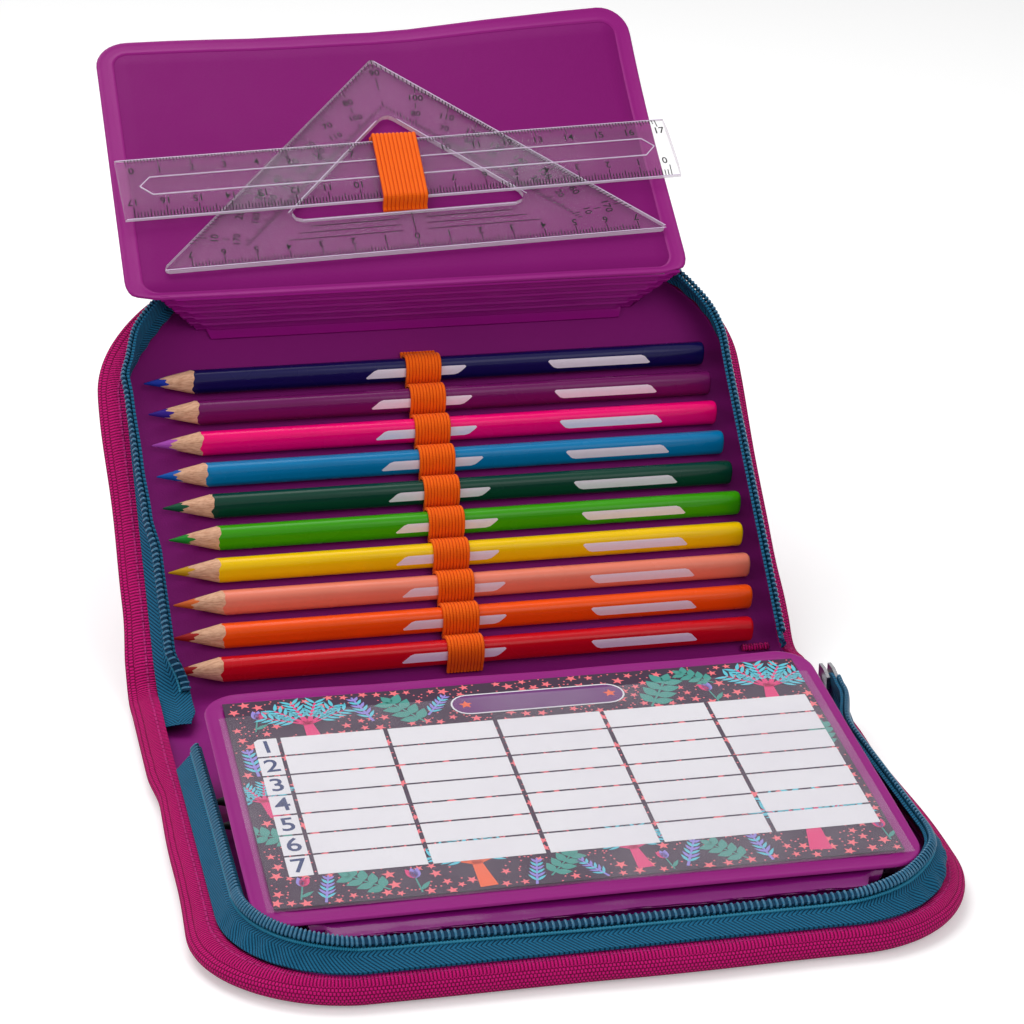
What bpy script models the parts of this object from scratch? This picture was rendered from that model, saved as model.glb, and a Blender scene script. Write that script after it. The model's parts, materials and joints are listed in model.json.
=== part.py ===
"""Zip-round pencil case with two leaves, a folding spine and two inner flaps on pleated hinges.

The case lies open. Its base leaf is flat on the table, with its underside at z = 0 and its centre at x = y = 0.
The spine lies behind the base, and the lid leaf rises from the spine at LID_TILT. Lengths are in metres.

Every leaf is built in its own frame: the origin is in the middle of its fold line, z = 0 is the lining's
upper surface, and the leaf runs away from the fold along y, towards -y for the base and +y for the lid.
"""

import math

import bmesh
import bpy
from mathutils import Matrix, Vector

# Clearances and the sheets that the case is made of
SEAT_GAP = 0.0003
COVER_THICKNESS = 0.0010
BOARD_THICKNESS = 0.0011
LINING_THICKNESS = 0.0006
FLOOR_STACK = COVER_THICKNESS + BOARD_THICKNESS + LINING_THICKNESS + 2 * SEAT_GAP

# Leaves: outline, rolled side wall and resting angle
CASE_WIDTH = 0.200
LEAF_DEPTH = 0.136
CORNER_RADIUS = 0.038
WALL_HEIGHT = 0.0072
EDGE_ROLL = 0.0045
LID_TILT = math.radians(45)

# Folding spine: one stiffened panel that stands up when the case closes
SPINE_DEPTH = 0.0378
FOLD_GAP = 0.0004
SPINE_END_INSET = 0.0010
SPINE_EDGE_ROUND = 0.0005
SPINE_BOARD_INSET = 0.0030

# Zip: the tape stands on the wall's rim, and its teeth lie on the tape's outer face
TAPE_WIDTH = 0.0092
TAPE_THICKNESS = 0.0008
TAPE_END_SETBACK = 0.0105
TOOTH_PITCH = 0.0032
TOOTH_REACH = 0.0030
TOOTH_ROOT_SHARE = 0.62
TOOTH_HEIGHT = 0.0015
TOOTH_OVERHANG = 0.0006
# Lean of the tape in degrees, inwards positive, at shares of the rim's length from its -x end
BASE_LEAN_SHARES = ((0.0, 28), (0.08, 40), (0.18, 38), (0.28, 25), (0.38, 46), (0.62, 46), (0.70, 22), (0.80, 5), (1.0, 2))
LID_LEAN_SHARES = ((0.0, 38), (0.16, 38), (0.30, 4), (0.38, -20), (0.62, -26), (0.75, -20), (1.0, -14))

# Slider and pull at the zip's end
SLIDER_LENGTH = 0.0075
SLIDER_WIDTH = 0.0060
SLIDER_PLATE = 0.0010
SLIDER_SLOT = 0.0016
SLIDER_POST = 0.0016
SLIDER_NOSE_SHARE = 0.6
PULL_LENGTH = 0.020
PULL_WIDTH = 0.0048
PULL_THICKNESS = 0.0011
PULL_EYE_SHARE = 0.5
PULL_EYE_LENGTH = 0.004

# Coloured pencils, three-sided with round edges
PENCIL_END_ROOM = 0.0125
PENCIL_LENGTH = CASE_WIDTH - 2 * PENCIL_END_ROOM
PENCIL_RADIUS = 0.00365
PENCIL_LOBE = 0.00035
PENCIL_PITCH = 0.01033
PENCIL_FIRST_ROW = 0.0066
PENCIL_LAST_ROOM = 0.0360
PENCIL_COUNT = 1 + int((LEAF_DEPTH - PENCIL_FIRST_ROW - PENCIL_LAST_ROOM) / PENCIL_PITCH)
PENCIL_LEAD_RADIUS = 0.00165
PENCIL_TIP_RADIUS = 0.0003
PENCIL_CONE_LENGTH = 0.0155
PENCIL_TAIL_ROUND = 0.0006
PENCIL_TAIL_SHARE = 0.88
PENCIL_SIDES = 18
PENCIL_TRAVEL = 0.0040
PENCIL_SHIFT_SHARES = (0.1, 0.2, 0.2, 0.3, 0.5, 0.7, 0.4, 0.5, 0.2, -0.2)

# Elastic bands
BAND_WIDTH = 0.0125
BAND_THICKNESS = 0.0009
BAND_SLACK = 0.00035
BAND_STITCH = 0.0010
BAND_END = 0.0050
BAND_ARC_STEPS = 10
BASE_BAND_X = 0.044
BASE_BAND_END = 0.0020

# Flaps: welded plastic sheets
FLAP_SIDE_ROOM = 0.015
FLAP_END_ROOM = 0.029
FLAP_WIDTH = CASE_WIDTH - 2 * FLAP_SIDE_ROOM
FLAP_LENGTH = LEAF_DEPTH - FLAP_END_ROOM
FLAP_THICKNESS = 0.0010
FLAP_RADIUS = 0.010
WELD_INSET = 0.0062
WELD_WIDTH = 0.0014
WELD_DEPTH = 0.0003

# Where the flap over the lid hangs
LID_FLAP_SETBACK = 0.0206
LID_FLAP_FOLD = LEAF_DEPTH - LID_FLAP_SETBACK
LID_FLAP_AXIS_HEIGHT = 0.0191
LID_FLAP_RISE = 0.0028
LID_FLAP_TILT = math.radians(-11.1)
LID_FLAP_SHIFT = 0.0015

# Where the flap over the base hangs
BASE_FLAP_SETBACK = 0.0112
BASE_FLAP_FOLD = LEAF_DEPTH - BASE_FLAP_SETBACK
BASE_FLAP_AXIS_HEIGHT = 0.0158
BASE_FLAP_LEAD = 0.0050
BASE_FLAP_DROP = 0.0054
BASE_FLAP_TILT = math.radians(6.5)

# Pleated hinges between the flaps and the leaves
PLEAT_COUNT = 5
PLEAT_THICKNESS = 0.0005
PLEAT_DEPTH = 0.0032
PLEAT_FOOT_LENGTH = 0.0030
PLEAT_FOOT_SETBACK = 0.0170
PLEAT_FOOT = LEAF_DEPTH - PLEAT_FOOT_SETBACK
LID_PLEAT_TOP_INSET = 0.0055
LID_PLEAT_TAPER = 0.0125
BASE_PLEAT_TOP_INSET = 0.012
BASE_PLEAT_TAPER = 0.010

# Timetable card and its clear pocket
CARD_SIDE_MARGIN = 0.00525
CARD_WIDTH = FLAP_WIDTH - 2 * CARD_SIDE_MARGIN
CARD_MARGIN = 0.0057
CARD_LENGTH = FLAP_LENGTH - 2 * CARD_MARGIN
CARD_THICKNESS = 0.0003
POCKET_THICKNESS = 0.0003
POCKET_BORDER = 0.0020
POCKET_MOUTH = 0.0080

# Ruler, set square and their strap
TOOL_TURN = math.radians(2.7)
RULER_LENGTH = 0.176
RULER_WIDTH = 0.024
RULER_THICKNESS = 0.0020
RULER_EDGE = 0.0009
RULER_BEVEL = 0.0050
RULER_CENTRE = 0.0475
RULER_OFFSET = 0.0010
RULER_GROOVE_DEPTH = 0.0004
RULER_GROOVE_WIDTH = 0.0070
RULER_GROOVE_INSET = 0.0060
SQUARE_HYPOTENUSE = 0.160
SQUARE_THICKNESS = 0.0016
SQUARE_FOOT = 0.0155
SQUARE_OFFSET = 0.0020
SQUARE_FRAME = 0.0157
SQUARE_STRAP_ROOM = 0.0022
SQUARE_ROUND = 0.0012
SQUARE_HOLE_ROUND = 0.0030
STRAP_WIDTH = 0.0140
STRAP_THICKNESS = 0.0009
STRAP_SIDE_GAP = 0.0010
STRAP_FOOT = 0.0020

# Scissors
SCISSORS_X = 0.006
SCISSORS_SETBACK = 0.040
SCISSORS_FOLD = LEAF_DEPTH - SCISSORS_SETBACK
SCISSORS_TURN = math.radians(-6)
SCISSORS_OPEN = math.radians(6)
BLADE_END_ROOM = 0.017
BLADE_LENGTH = CASE_WIDTH / 2 - BLADE_END_ROOM
BLADE_WIDTH = 0.0105
BLADE_TIP_SHARE = 0.42
BLADE_THICKNESS = 0.0014
BLADE_OFFSET = 0.0008
TANG_LENGTH = 0.016
TANG_WIDTH = 0.0070
RIVET_RADIUS = 0.0022
RIVET_HEAD_RADIUS = 0.0036
RIVET_HEAD = 0.0008
HANDLE_THICKNESS = 0.0070
HANDLE_END_ROOM = 0.040
HANDLE_CENTRE = CASE_WIDTH / 2 - HANDLE_END_ROOM
HANDLE_LENGTH = 0.0190
HANDLE_WIDTH = 0.0090
HANDLE_RIM = 0.0036
HANDLE_SPREAD = 0.0096
HANDLE_NECK_TURN = 32
HANDLE_ROUND = 0.0014
HANDLE_STEPS = 20

# Round graphite pencils in the base
LEAD_PENCIL_COUNT = 2
LEAD_PENCIL_PITCH = 0.014
LEAD_PENCIL_ROOM = 0.044
LEAD_PENCIL_FIRST_ROW = SCISSORS_FOLD - LEAD_PENCIL_ROOM
LEAD_PENCIL_RADIUS = 0.0036
LEAD_PENCIL_SIDES = 12

# Sewn tab at the zip's end
TAB_LENGTH = 0.0100
TAB_WIDTH = 0.0016
TAB_THICKNESS = 0.0008
TAB_INSET = 0.0100

# Mesh steps
ROLL_STEPS = 6
RIM_SIDE_STEPS = 10
RIM_ARC_STEPS = 9
RIM_END_STEPS = 6
CORNER_STEPS = 6
ROUND_STEPS = 3

BASE_SIDE = -1
LID_SIDE = 1
BASE_FOLD_Y = LEAF_DEPTH / 2

MATERIALS = {
    "magenta_fabric": ((0.62, 0.03, 0.25), 0.85, 0.0, 1.0),
    "board": ((0.45, 0.40, 0.33), 0.90, 0.0, 1.0),
    "purple_lining": ((0.21, 0.02, 0.22), 0.50, 0.0, 1.0),
    "zip_tape": ((0.02, 0.13, 0.21), 0.85, 0.0, 1.0),
    "zip_teeth": ((0.03, 0.20, 0.30), 0.40, 0.0, 1.0),
    "zip_metal": ((0.30, 0.30, 0.32), 0.35, 1.0, 1.0),
    "orange_elastic": ((0.90, 0.20, 0.02), 0.80, 0.0, 1.0),
    "purple_pvc": ((0.27, 0.03, 0.26), 0.30, 0.0, 1.0),
    "card": ((0.80, 0.79, 0.81), 0.60, 0.0, 1.0),
    "clear_film": ((0.90, 0.88, 0.92), 0.10, 0.0, 0.25),
    "clear_acrylic": ((0.92, 0.94, 0.95), 0.08, 0.0, 0.30),
    "steel": ((0.55, 0.56, 0.58), 0.25, 1.0, 1.0),
    "brown_handle": ((0.16, 0.03, 0.03), 0.45, 0.0, 1.0),
    "graphite_red": ((0.12, 0.02, 0.03), 0.40, 0.0, 1.0),
    "graphite_black": ((0.02, 0.02, 0.02), 0.40, 0.0, 1.0),
    "pencil_navy": ((0.02, 0.01, 0.11), 0.35, 0.0, 1.0),
    "pencil_plum": ((0.16, 0.01, 0.11), 0.35, 0.0, 1.0),
    "pencil_pink": ((0.85, 0.01, 0.27), 0.35, 0.0, 1.0),
    "pencil_blue": ((0.01, 0.22, 0.45), 0.35, 0.0, 1.0),
    "pencil_dark_green": ((0.01, 0.05, 0.03), 0.35, 0.0, 1.0),
    "pencil_green": ((0.05, 0.36, 0.02), 0.35, 0.0, 1.0),
    "pencil_yellow": ((0.90, 0.64, 0.01), 0.35, 0.0, 1.0),
    "pencil_coral": ((0.80, 0.22, 0.13), 0.35, 0.0, 1.0),
    "pencil_orange": ((0.83, 0.08, 0.01), 0.35, 0.0, 1.0),
    "pencil_red": ((0.55, 0.01, 0.02), 0.35, 0.0, 1.0),
}
PENCIL_COLOURS = (
    "pencil_navy",
    "pencil_plum",
    "pencil_pink",
    "pencil_blue",
    "pencil_dark_green",
    "pencil_green",
    "pencil_yellow",
    "pencil_coral",
    "pencil_orange",
    "pencil_red",
)


def clear_scene():
    """Remove every object, mesh and material."""
    for item in list(bpy.data.objects):
        bpy.data.objects.remove(item, do_unlink=True)
    for mesh in list(bpy.data.meshes):
        bpy.data.meshes.remove(mesh)
    for material in list(bpy.data.materials):
        bpy.data.materials.remove(material)


def material(name):
    """Return the named Principled material, made on first use."""
    found = bpy.data.materials.get(name)
    if found:
        return found
    colour, roughness, metallic, alpha = MATERIALS[name]
    made = bpy.data.materials.new(name)
    made.use_nodes = True
    shader = made.node_tree.nodes["Principled BSDF"]
    shader.inputs["Base Color"].default_value = (*colour, 1.0)
    shader.inputs["Roughness"].default_value = roughness
    shader.inputs["Metallic"].default_value = metallic
    shader.inputs["Alpha"].default_value = alpha
    made.diffuse_color = (*colour, alpha)
    return made


def frame(name, location, turn_x=0.0, parent=None):
    """Add an empty at a joint's axis, turned about x."""
    empty = bpy.data.objects.new(name, None)
    bpy.context.scene.collection.objects.link(empty)
    empty.parent = parent
    empty.location = location
    empty.rotation_euler = (turn_x, 0.0, 0.0)
    return empty


def add_solid(name, body, material_name, parent, smooth_angle=40):
    """Turn a bmesh into a named object with its faces pointing out."""
    bmesh.ops.recalc_face_normals(body, faces=body.faces)
    mesh = bpy.data.meshes.new(name)
    body.to_mesh(mesh)
    body.free()
    mesh.shade_smooth()
    mesh.set_sharp_from_angle(angle=math.radians(smooth_angle))
    mesh.materials.append(material(material_name))
    item = bpy.data.objects.new(name, mesh)
    bpy.context.scene.collection.objects.link(item)
    item.parent = parent
    return item


def loft(name, rings, material_name, parent, closed=False, smooth_angle=40):
    """Skin equal rings of points in order; cap the ends, or join the last ring to the first."""
    body = bmesh.new()
    loops = [[body.verts.new(point) for point in ring] for ring in rings]
    count = len(loops[0])
    pairs = list(zip(loops, loops[1:]))
    if closed:
        pairs.append((loops[-1], loops[0]))
    else:
        body.faces.new(loops[0])
        body.faces.new(reversed(loops[-1]))
    for low, high in pairs:
        for i in range(count):
            j = (i + 1) % count
            body.faces.new((low[i], high[i], high[j], low[j]))
    return add_solid(name, body, material_name, parent, smooth_angle)


def prism_x(name, outline, low_x, high_x, material_name, parent, smooth_angle=40):
    """Extrude an outline of (y, z) points along x."""
    rings = [[Vector((x, y, z)) for y, z in outline] for x in (low_x, high_x)]
    return loft(name, rings, material_name, parent, smooth_angle=smooth_angle)


def smooth_step(share):
    """Ease from 0 to 1."""
    return share * share * (3 - 2 * share)


def from_shares(table, share):
    """Read a value from a table of (share, value) pairs, eased between its rows."""
    for (low, start), (high, end) in zip(table, table[1:]):
        if share <= high:
            return start + (end - start) * smooth_step((share - low) / (high - low))
    return table[-1][1]


def rim_stations(side, start, side_steps, arc_steps, end_steps):
    """Points and inward normals round the leaf's open rim, from the fold at -x to the fold at +x."""
    half = CASE_WIDTH / 2
    run_end = LEAF_DEPTH - CORNER_RADIUS
    points = []
    for i in range(side_steps):
        points.append((-half, start + (run_end - start) * i / side_steps, 1.0, 0.0))
    for i in range(arc_steps):
        turn = math.pi - math.pi / 2 * i / arc_steps
        c, s = math.cos(turn), math.sin(turn)
        points.append((-half + CORNER_RADIUS * (1 + c), run_end + CORNER_RADIUS * s, -c, -s))
    for i in range(end_steps):
        x = -half + CORNER_RADIUS + (CASE_WIDTH - 2 * CORNER_RADIUS) * i / end_steps
        points.append((x, LEAF_DEPTH, 0.0, -1.0))
    for i in range(arc_steps):
        turn = math.pi / 2 - math.pi / 2 * i / arc_steps
        c, s = math.cos(turn), math.sin(turn)
        points.append((half - CORNER_RADIUS * (1 - c), run_end + CORNER_RADIUS * s, -c, -s))
    for i in range(side_steps + 1):
        points.append((half, run_end + (start - run_end) * i / side_steps, -1.0, 0.0))
    return [(Vector((x, side * y)), Vector((nx, side * ny))) for x, y, nx, ny in points]


def at_rim(station, inset, height):
    """A point set in from the rim's outermost line, at a height above the lining."""
    point, inward = station
    place = point + inward * inset
    return Vector((place.x, place.y, height))


def roll_curve(gap, low, high, upwards):
    """Half an ellipse of (inset, height) points: the rolled edge seen end-on, gap inside its outermost line."""
    curve = []
    for i in range(ROLL_STEPS + 1):
        turn = math.radians(-90 + 180 * i / ROLL_STEPS)
        inset = EDGE_ROLL - (EDGE_ROLL - gap) * math.cos(turn)
        height = (low + high) / 2 + (high - low) / 2 * math.sin(turn)
        curve.append((inset, height))
    return curve if upwards else curve[::-1]


def tray(name, side, profile, material_name, parent):
    """A floor with a wall on three sides, from a profile that runs from its underside over the rim to its floor."""
    stations = rim_stations(side, FOLD_GAP / 2, RIM_SIDE_STEPS, RIM_ARC_STEPS, RIM_END_STEPS)
    body = bmesh.new()
    rows = [[body.verts.new(at_rim(s, inset, height)) for inset, height in profile] for s in stations]
    for low, high in zip(rows, rows[1:]):
        for i in range(len(profile) - 1):
            body.faces.new((low[i], high[i], high[i + 1], low[i + 1]))
    body.faces.new([row[0] for row in rows])
    body.faces.new([row[-1] for row in reversed(rows)])
    body.faces.new(list(reversed(rows[0])) + rows[-1])
    return add_solid(name, body, material_name, parent, smooth_angle=50)


def rounded_outline(width, length, radius, inset, steps=CORNER_STEPS):
    """Corners of a round-cornered rectangle, centred on x = 0 and running from y = 0 to y = length."""
    turn_radius = max(radius - inset, SEAT_GAP)
    half = width / 2 - inset
    points = []
    corners = ((1, -1, -90), (1, 1, 0), (-1, 1, 90), (-1, -1, 180))
    for sx, sy, first in corners:
        centre_x = sx * (half - turn_radius)
        centre_y = length / 2 + sy * (length / 2 - inset - turn_radius)
        for i in range(steps + 1):
            turn = math.radians(first + 90 * i / steps)
            x = centre_x + turn_radius * math.cos(turn)
            y = centre_y + turn_radius * math.sin(turn)
            points.append((x, y))
    return points


def build_leaf(prefix, side, parent, lean_shares):
    """Cover, stiffening board, lining, zip tape and zip teeth of one leaf."""
    ground = -FLOOR_STACK
    rim = ground + WALL_HEIGHT
    wall = COVER_THICKNESS
    outer = roll_curve(0.0, ground, rim, True)
    inner = roll_curve(wall, ground + wall, rim - wall, False)
    tray(f"{prefix}_cover", side, outer + inner, "magenta_fabric", parent)

    build_board(prefix, side, parent, ground + COVER_THICKNESS + SEAT_GAP)

    lining_gap = wall + 2 * SEAT_GAP
    lining_top = rim - wall - SEAT_GAP
    outer = roll_curve(lining_gap, -LINING_THICKNESS, lining_top, True)
    inner = roll_curve(lining_gap + LINING_THICKNESS, 0.0, lining_top - LINING_THICKNESS, False)
    tray(f"{prefix}_lining", side, outer + inner, "purple_lining", parent)

    build_tape(prefix, side, parent, rim + SEAT_GAP, lean_shares)
    build_teeth(prefix, side, parent, rim + SEAT_GAP, lean_shares)


def build_board(prefix, side, parent, underside):
    """Flat board between cover and lining."""
    stations = rim_stations(side, FOLD_GAP, 1, RIM_ARC_STEPS, 1)
    rings = [
        [at_rim(s, EDGE_ROLL + SEAT_GAP, height) for s in stations]
        for height in (underside, underside + BOARD_THICKNESS)
    ]
    loft(f"{prefix}_board", rings, "board", parent)


def tape_frame(station, share, foot, lean_shares):
    """Foot point, direction up the tape and outward normal of the tape at a rim station."""
    lean = math.radians(from_shares(lean_shares, share))
    _, inward = station
    along = Vector((inward.x * math.sin(lean), inward.y * math.sin(lean), math.cos(lean)))
    outward = Vector((-inward.x * math.cos(lean), -inward.y * math.cos(lean), math.sin(lean)))
    start = at_rim(station, EDGE_ROLL, foot + TAPE_THICKNESS / 2 * abs(math.sin(lean)))
    return start, along, outward


def path_shares(stations):
    """Share of the rim's length at each station."""
    lengths = [0.0]
    for (a, _), (b, _) in zip(stations, stations[1:]):
        lengths.append(lengths[-1] + (b - a).length)
    return [length / lengths[-1] for length in lengths]


def build_tape(prefix, side, parent, foot, lean_shares):
    """Woven tape: a thin strip that leans in or out as it goes round the rim."""
    stations = rim_stations(side, TAPE_END_SETBACK, 2 * RIM_SIDE_STEPS, RIM_ARC_STEPS, 2 * RIM_END_STEPS)
    half = TAPE_THICKNESS / 2
    rings = []
    for station, share in zip(stations, path_shares(stations)):
        start, along, outward = tape_frame(station, share, foot, lean_shares)
        top = start + along * TAPE_WIDTH
        rings.append([start - outward * half, start + outward * half, top + outward * half, top - outward * half])
    loft(f"{prefix}_zip_tape", rings, "zip_tape", parent)


def build_teeth(prefix, side, parent, foot, lean_shares):
    """One row of teeth on the tape's outer face, as a comb with one tooth every TOOTH_PITCH."""
    run = LEAF_DEPTH - CORNER_RADIUS - TAPE_END_SETBACK
    arc = math.pi / 2 * (CORNER_RADIUS - EDGE_ROLL)
    end = CASE_WIDTH - 2 * CORNER_RADIUS
    half_pitch = TOOTH_PITCH / 2
    stations = rim_stations(
        side, TAPE_END_SETBACK, round(run / half_pitch), round(arc / half_pitch), round(end / half_pitch)
    )
    rings = []
    for i, (station, share) in enumerate(zip(stations, path_shares(stations))):
        start, along, outward = tape_frame(station, share, foot, lean_shares)
        is_tooth = i % 2 == 0
        reach = TOOTH_REACH if is_tooth else TOOTH_REACH * TOOTH_ROOT_SHARE
        height = TOOTH_HEIGHT if is_tooth else TOOTH_HEIGHT * TOOTH_ROOT_SHARE
        root = start + along * (TAPE_WIDTH + TOOTH_OVERHANG - TOOTH_REACH)
        root += outward * (TAPE_THICKNESS / 2 + SEAT_GAP)
        rings.append([
            root,
            root + outward * height,
            root + outward * height + along * reach,
            root + along * reach,
        ])
    loft(f"{prefix}_zip_teeth", rings, "zip_teeth", parent, smooth_angle=20)


def build_spine(parent):
    """Spine panel: fabric below, a stiffening board, and lining above, with round ends."""
    half = CASE_WIDTH / 2 - SPINE_END_INSET
    cover_top = -FLOOR_STACK + COVER_THICKNESS
    board_low = cover_top + SEAT_GAP
    layers = (
        ("spine_cover", -FLOOR_STACK, cover_top, "magenta_fabric", 0.0),
        ("spine_board", board_low, board_low + BOARD_THICKNESS, "board", SPINE_BOARD_INSET),
        ("spine_lining", -LINING_THICKNESS, 0.0, "purple_lining", SPINE_EDGE_ROUND),
    )
    for name, low, high, material_name, inset in layers:
        edge = half - inset
        near = FOLD_GAP / 2 + inset
        far = SPINE_DEPTH - near
        rounding = min(SPINE_EDGE_ROUND, (high - low) / 2)
        section = [
            (-edge + rounding, low),
            (edge - rounding, low),
            (edge, low + rounding),
            (edge - rounding, high),
            (-edge + rounding, high),
            (-edge, low + rounding),
        ]
        rings = [[Vector((x, y, z)) for x, z in section] for y in (near, far)]
        loft(name, rings, material_name, parent)


def pencil_radius(turn):
    """Radius of the three-lobed barrel, one lobe up."""
    return PENCIL_RADIUS + PENCIL_LOBE * math.cos(3 * (turn - math.pi / 2))


def pencil_point(turn, offset):
    """Point offset square to the barrel's surface, in (y, z) about the barrel's axis."""
    radius = pencil_radius(turn)
    slope = -3 * PENCIL_LOBE * math.sin(3 * (turn - math.pi / 2))
    c, s = math.cos(turn), math.sin(turn)
    normal = Vector((radius * c + slope * s, radius * s - slope * c)).normalized()
    return radius * c + normal.x * offset, radius * s + normal.y * offset


def build_pencil(name, centre, parent, material_name, sides, radius_at):
    """A sharpened pencil along x with its point at -x; the cone cuts the barrel in a scalloped line."""
    axis = frame(f"{name}_axis", centre, parent=parent)
    slope = PENCIL_RADIUS / PENCIL_CONE_LENGTH
    tip = -PENCIL_LENGTH / 2
    turns = [math.pi / 2 + 2 * math.pi * i / sides for i in range(sides)]

    def ring(x_at, radius):
        return [Vector((x_at(t), radius(t) * math.cos(t), radius(t) * math.sin(t))) for t in turns]

    rings = [
        ring(lambda t: PENCIL_LENGTH / 2, lambda t: radius_at(t) * PENCIL_TAIL_SHARE),
        ring(lambda t: PENCIL_LENGTH / 2 - PENCIL_TAIL_ROUND, radius_at),
        ring(lambda t: tip + radius_at(t) / slope, radius_at),
        ring(lambda t: tip + PENCIL_LEAD_RADIUS / slope, lambda t: PENCIL_LEAD_RADIUS),
        ring(lambda t: tip + PENCIL_TIP_RADIUS / slope, lambda t: PENCIL_TIP_RADIUS),
    ]
    loft(name, rings, material_name, axis, smooth_angle=30)


def pencil_row(index):
    """Distance from the lid's fold to the axis of a pencil, counted from the far row."""
    return PENCIL_FIRST_ROW + (PENCIL_COUNT - 1 - index) * PENCIL_PITCH


def pencil_height():
    """Height of a coloured pencil's axis above the lining."""
    return SEAT_GAP + pencil_radius(-math.pi / 2)


def build_coloured_pencils(parent):
    """Pencils side by side in the lid, each on its own sliding axis."""
    for i in range(PENCIL_COUNT):
        share = PENCIL_SHIFT_SHARES[i % len(PENCIL_SHIFT_SHARES)]
        colour = PENCIL_COLOURS[i % len(PENCIL_COLOURS)]
        centre = (share * PENCIL_TRAVEL, pencil_row(i), pencil_height())
        build_pencil(f"pencil_{i + 1:02d}", centre, parent, colour, PENCIL_SIDES, pencil_radius)


def loop_over_pencil(centre, height, offset):
    """Points of a band's face over one coloured pencil, from its -y side to its +y side."""
    points = []
    for i in range(BAND_ARC_STEPS + 1):
        turn = math.radians(185 - 190 * i / BAND_ARC_STEPS)
        y, z = pencil_point(turn, offset)
        points.append((centre + y, height + z))
    return points


def build_lid_elastic(parent):
    """One band sewn down between the pencils, so that it makes a loop for each."""
    height = pencil_height()
    rows = sorted(pencil_row(i) for i in range(PENCIL_COUNT))
    low, high = SEAT_GAP, SEAT_GAP + BAND_THICKNESS
    half = PENCIL_PITCH / 2
    first, last = rows[0] - half, rows[-1] + half
    under = [(first - BAND_STITCH / 2, low)]
    over = [(first - BAND_STITCH / 2, high)]
    for row in rows:
        under.append((row - half + BAND_STITCH, low))
        under += loop_over_pencil(row, height, BAND_SLACK)
        under.append((row + half - BAND_STITCH, low))
        over += loop_over_pencil(row, height, BAND_SLACK + BAND_THICKNESS)
        if row != rows[-1]:
            over.append((row + half, high))
    under.append((last + BAND_END, low))
    over.append((last + BAND_STITCH, high))
    over.append((last + BAND_END, high))
    prism_x("pencil_elastic", under + over[::-1], -BAND_WIDTH / 2, BAND_WIDTH / 2, "orange_elastic", parent, 30)


def graphite_row(index):
    """Distance from the base's fold to a graphite pencil's axis."""
    return LEAD_PENCIL_FIRST_ROW - index * LEAD_PENCIL_PITCH


def build_graphite_pencils(parent):
    """Two round pencils in the base."""
    colours = ("graphite_red", "graphite_black")
    for i in range(LEAD_PENCIL_COUNT):
        centre = (0.0, -graphite_row(i), SEAT_GAP + LEAD_PENCIL_RADIUS)
        colour = colours[i % len(colours)]
        build_pencil(f"graphite_pencil_{i + 1}", centre, parent, colour, LEAD_PENCIL_SIDES, lambda t: LEAD_PENCIL_RADIUS)


def round_loop(centre, radius, height, offset):
    """Points of a band's face over a round pencil."""
    points = []
    for i in range(BAND_ARC_STEPS + 1):
        turn = math.radians(180 - 180 * i / BAND_ARC_STEPS)
        points.append((centre + (radius + offset) * math.cos(turn), height + (radius + offset) * math.sin(turn)))
    return points


def flat_loop(centre, half_width, top, offset):
    """Points of a band's face over a flat item."""
    return [
        (centre - half_width - offset, top / 2),
        (centre - half_width, top + offset),
        (centre + half_width, top + offset),
        (centre + half_width + offset, top / 2),
    ]


def build_base_elastic(parent):
    """A band across the base: one wide loop for the scissors' blades and one for each graphite pencil."""
    low, high = SEAT_GAP, SEAT_GAP + BAND_THICKNESS
    blade_reach = BASE_BAND_X - SCISSORS_X
    blade_y = -SCISSORS_FOLD + blade_reach * math.tan(SCISSORS_TURN)
    blade_half = BLADE_WIDTH / 2 + BLADE_OFFSET + BAND_WIDTH / 2 * abs(math.tan(SCISSORS_TURN - SCISSORS_OPEN))
    opening = (blade_reach + BAND_WIDTH / 2) * math.tan(SCISSORS_OPEN)
    blade_y -= opening / 2
    blade_half += opening / 2
    blade_top = scissors_floor() + 2 * BLADE_THICKNESS + SEAT_GAP
    rows = [-graphite_row(i) for i in range(LEAD_PENCIL_COUNT)]
    height = SEAT_GAP + LEAD_PENCIL_RADIUS

    start = blade_y - blade_half - BASE_BAND_END
    end = rows[-1] + LEAD_PENCIL_RADIUS + BASE_BAND_END
    stitch = BAND_SLACK + BAND_THICKNESS
    under = [(start, low), (blade_y - blade_half - BAND_SLACK, low)]
    under += flat_loop(blade_y, blade_half, blade_top, BAND_SLACK)
    under.append((blade_y + blade_half + BAND_SLACK, low))
    over = [(start, high), (blade_y - blade_half - stitch, high)]
    over += flat_loop(blade_y, blade_half, blade_top, stitch)
    over.append((blade_y + blade_half + stitch, high))
    for row in rows:
        under.append((row - LEAD_PENCIL_RADIUS - BAND_SLACK, low))
        under += round_loop(row, LEAD_PENCIL_RADIUS, height, BAND_SLACK)
        under.append((row + LEAD_PENCIL_RADIUS + BAND_SLACK, low))
        over.append((row - LEAD_PENCIL_RADIUS - stitch, high))
        over += round_loop(row, LEAD_PENCIL_RADIUS, height, stitch)
        over.append((row + LEAD_PENCIL_RADIUS + stitch, high))
    under.append((end, low))
    over.append((end, high))
    near_x = BASE_BAND_X - BAND_WIDTH / 2
    far_x = BASE_BAND_X + BAND_WIDTH / 2
    prism_x("base_elastic", under + over[::-1], near_x, far_x, "orange_elastic", parent, 30)


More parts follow.
